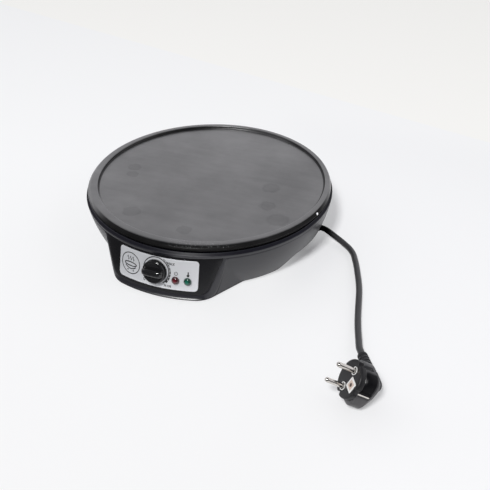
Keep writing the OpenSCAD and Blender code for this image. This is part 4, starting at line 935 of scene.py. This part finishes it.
bar += [on_dial(bar_x[end], np.stack([bar_up[end], 0 * t]),
                np.stack([bar_out[end], BAR_FOOT + 0 * t])) for end in (0, -1)]


def phenolic(place):
    """Polished on top, and left as moulded down the skirt's side."""
    out = place.along(in_frame(on_dial(0, 0, 0)), face_out)
    return {**moulded((0.008, 0.008, 0.009), 0.16, 0.05, 0.03)(place),
            "Coat Weight": out.step(0.0052, 0.0064) * 0.93 + 0.07}


knob_black = finish("knob_black", phenolic, IOR=1.05, Coat_IOR=1.6, Coat_Roughness=0.13)
skirt_grid = on_dial(*np.moveaxis(turned(skirt, 96), -1, 0))
piece("knob_moulded", [(skirt_grid, False, True), *((grid, False, False) for grid in bar)],
      knob_black, "control_knob", ("knob",), sharp=50)


# ---------------------------------------------------------------- pilot lamps
# Two domed lenses of clear tinted plastic, pushed through the panel from the front: red for
# mains and green for heat. Each stands on a small collar, and a dark ring of painted shade runs
# round the lens's edge.

LAMP_Z, LAMP_R = 23.6, 4.5
dome = [(0, 0.05), (LAMP_R, 0.05), (LAMP_R, 0.75)] + [
    (0.1 + (LAMP_R - 0.3) * math.cos(a), 0.8 + 2.4 * math.sin(a))
    for a in np.linspace(0.12, math.pi / 2 - 0.05, 12)] + [(0, 3.2)]


def tinted(x, deep, pale):
    """A lens: pale in the middle as a painted sheen, and darkened toward its edge as painted
    shade.
    """

    def pattern(place):
        gap = place.distance(in_frame(on_dial(0, 0, 1.0, x, LAMP_Z)))
        cloud = place.noise(900, 2)
        # Painted shade at the rim, and a painted sheen in the middle.
        edge = (gap * 1000 + (cloud - 0.5) * 0.7).step(1.0, 3.6)
        return {"Base Color": edge.mix(pale, deep), "Roughness": 0.12 + cloud * 0.08}

    return pattern


for name, x, deep, pale in (
        ("red", 22.9, (0.035, 0.002, 0.005, 1), (0.26, 0.012, 0.026, 1)),
        ("green", 36.1, (0.001, 0.035, 0.022, 1), (0.01, 0.25, 0.16, 1))):
    glass = finish("lens_" + name, tinted(x, deep, pale), Coat_Weight=1.0, Coat_Roughness=0.08)
    dome_grid = on_dial(*np.moveaxis(turned(dome, 48), -1, 0), x, LAMP_Z)
    piece("dome_" + name, [(dome_grid, False, True)], glass, "crepe_maker", ("lens_" + name,))


# ---------------------------------------------------------------- cooking plate
# Cast aluminium, machined on its edge, with a matt black non-stick coat. A low rolled rim
# keeps batter in, and a cove leads down from it to the flat cooking face.

PLATE_UNDER, SURFACE_Z = 54.5, 59.5
CREST_BACK, CREST_RIGHT = 3.3, 1.1
rim = [
    # radius, height, how far the ring is set back, and to the right
    (139.0, 54.5, 0, 0), (140.6, 55.6, 0, 0), (141.6, 56.7, 0, 0), (142.2, 57.0, 0, 0),
    (146.3, 57.0, 0, 0), (147.2, 57.3, 0, 0), (147.75, 57.9, 0, 0), (148.0, 58.7, 0, 0),
    (147.95, 59.5, 0, 0), (147.6, 60.5, 0.3, 0), (147.0, 61.4, 0.8, 0), (146.4, 62.1, 1.2, 0),
    (145.8, 62.6, 1.9, 0), (145.2, 62.87, 2.2, 0), (144.5, 62.97, 2.4, 0),
    (142.5, 62.98, 2.9, 0.6),
]
crest = [(radius, z, CREST_BACK, CREST_RIGHT) for radius, z in (
    (139.9, 62.95), (139.3, 62.9), (138.9, 62.75), (138.6, 62.4), (138.45, 61.8), (138.35, 61.0),
    (138.2, 60.4), (137.9, 59.95), (137.5, 59.65), (137.0, 59.52), (136.4, SURFACE_Z),
    (136.0, SURFACE_Z))]
under = [(radius, PLATE_UNDER, 0, 0) for radius in (0, 120)]
middle = [(135.4, SURFACE_Z, 3, 1)]
middle += [(radius, SURFACE_Z, 0, 0) for radius in (130, 100, 60, 20, 0)]
rings = np.array(under + rim + crest + middle)
plate_grid = turned(rings[:, :2], 480)
plate_grid[..., :2] += rings[:, None, [3, 2]]

# Where batter has left rings, as x, y and size, and where a small white mirror spot catches the
# window's glint.
STAINS = ((-0.1012, 0.0037, 0.008), (-0.0951, -0.013, 0.007), (-0.0561, -0.0888, 0.010),
          (0.0862, -0.025, 0.009), (0.1059, -0.0487, 0.012), (0.0153, -0.103, 0.008),
          (0.0769, 0.0144, 0.010))
GLINT_SPOT, GLINT_R = (0.1446, -0.0225, 0.0602), 0.0017
CREST_X, CREST_Y = CREST_RIGHT / 1000, AXIS_Y + CREST_BACK / 1000


def nonstick(place):
    """A matt coat with fine speckle, faint wiped patches and batter rings. Painted shade makes it
    darker and duller in the cove and on the shoulder toward the front, pale specks there are a
    painted sparkle of highlight, and one small white mirror spot catches a glint."""
    x, y, z = place.axes()
    patch = place.noise(13, 4, 0.6)
    wiped = place.stretched(0.5, 2.4, 1).noise(26, 4, 0.6)
    speck = place.noise(700, 2, 0.7)
    fine = place.noise(2600, 1)
    blot = place.noise(120, 3, 0.6)
    stains = 0
    for stain_x, stain_y, size in STAINS:
        off_x, off_y = x - stain_x, (y - stain_y) * 1.1
        gap = ((off_x * off_x + off_y * off_y) ** 0.5 + (blot - 0.5) * 0.009) / size
        ring = gap.step(0.7, 0.95) * gap.step(1.25, 1.0)
        stains = gap.step(1.2, 0.7) * 0.35 + ring * 0.25 + stains
    tone = (patch - 0.5) * 1.3 + (wiped - 0.5) * 0.7 + (speck - 0.5) * 0.2 + 0.45 - stains * 0.6
    base = tone.mix((0.002, 0.002, 0.003, 1), (0.070, 0.069, 0.071, 1))

    # Painted shade: the cove and the front shoulder are painted darker with a thinner coat, where
    # the real rim reflects the room's dark side.
    off_x, off_y = x - CREST_X, y - CREST_Y
    reach = (off_x * off_x + off_y * off_y) ** 0.5
    front = (x * 0.5 - y).step(0.03, 0.09)
    shoulder = z.step(0.06293, 0.0624) * front * z.step(0.0596, 0.0598)
    outer_shade = reach.step(0.1405, 0.1415) * (shoulder + z.step(0.0597, 0.0596))
    shine = abs(x - 0.022).step(0.055, 0.025) * y.step(0.05, 0.1)
    cove = reach.step(0.1364, 0.1369) * reach.step(0.1389, 0.1384) * y.step(-0.1, -0.04)
    cove = cove * (1 - shine)
    dull = outer_shade * 0.97 + cove * 0.75 + (0.5 - tone) * 0.22 * (1 - outer_shade) + 0.03

    # Painted highlight: pale specks on the front shoulder stand for the lamp's sparkle on the
    # rough coat.
    painted_light_area = y.step(-0.105, -0.125) * z.step(0.0605, 0.0615)
    painted_light_area = painted_light_area * x.step(0.005, 0.025) * x.step(0.085, 0.07)
    painted_sparkle = place.noise(750, 3, 0.75).step(0.56, 0.66) * painted_light_area * 0.6
    # A white mirror spot, placed where the window's glint shows.
    glint_spot = place.distance(GLINT_SPOT).step(GLINT_R + 0.0002, GLINT_R - 0.0002)
    # Painted shade in the cove and on the front shoulder, then the painted highlight specks.
    coated = ((outer_shade + cove) * 0.8).mix(base, (0.005, 0.005, 0.005, 1))
    coated = painted_sparkle.mix(coated, (0.3, 0.3, 0.3, 1))
    return {
        "Base Color": glint_spot.mix(coated, (1, 1, 1, 1)),
        "Metallic": glint_spot,
        "Coat Weight": (1 - dull) * (1 - glint_spot),
        "Roughness": 0.31 + (patch - 0.5) * 0.1 + (speck - 0.5) * 0.06 - glint_spot * 0.15,
        "Normal": (fine * 0.7 + speck * 0.3).bump(0.35, 0.00005),
    }


nonstick_cast = finish("nonstick_cast", nonstick, IOR=1.1, Coat_IOR=2.15, Coat_Roughness=0.3)
piece("plate_cast", [(plate_grid, False, True)], nonstick_cast, "crepe_maker",
      ("cooking_plate",), sharp=40)


# ---------------------------------------------------------------- works and underside
# What the shell encloses and what it stands on keep their exact shapes. Each takes the
# finish of its own stock: sheathed element, aluminised dish, zinc screws, nylon, brass,
# vinyl leads, and a moulded cover with rubber feet.

metals = {
    "sheath_steel": metal((0.30, 0.27, 0.24), 0.42),
    "reflector_steel": metal((0.62, 0.63, 0.64), 0.3),
    "zinc_steel": metal((0.58, 0.58, 0.56), 0.28),
    "spindle_steel": metal((0.55, 0.55, 0.54), 0.3),
    "copper": metal((0.72, 0.38, 0.24), 0.3),
    "terminal_brass": metal((0.72, 0.56, 0.30), 0.28),
}
mouldings = {
    "ceramic": moulded((0.72, 0.70, 0.64), 0.5, lift=1.1),
    "nylon_white": moulded((0.78, 0.77, 0.72), 0.45, lift=1.08),
    "neon_glass": moulded((0.65, 0.5, 0.42), 0.1, lift=1.1),
    "glass_sleeve": moulded((0.62, 0.60, 0.54), 0.6, lift=1.1),
    "lead_brown": moulded((0.12, 0.05, 0.025), 0.45),
    "lead_blue": moulded((0.02, 0.09, 0.36), 0.45),
    "lead_green_yellow": moulded((0.30, 0.46, 0.04), 0.45),
    "cover_black": moulded((0.020, 0.020, 0.021), 0.5, 0.5),
    "foot_rubber": moulded((0.016, 0.016, 0.016), 0.75, 0.6),
    "cord_black": moulded((0.024, 0.024, 0.026), 0.42),
}
coats = {name: finish(name, pattern, Metallic=1.0) for name, pattern in metals.items()}
coats.update((name, finish(name, pattern)) for name, pattern in mouldings.items())
coats["pin_nickel"] = nickel
for node in nodes.values():
    slot_name = node.material_slots[0].material.name.split(".")[0]
    if slot_name in coats:
        node.material_slots[0].material = coats[slot_name]
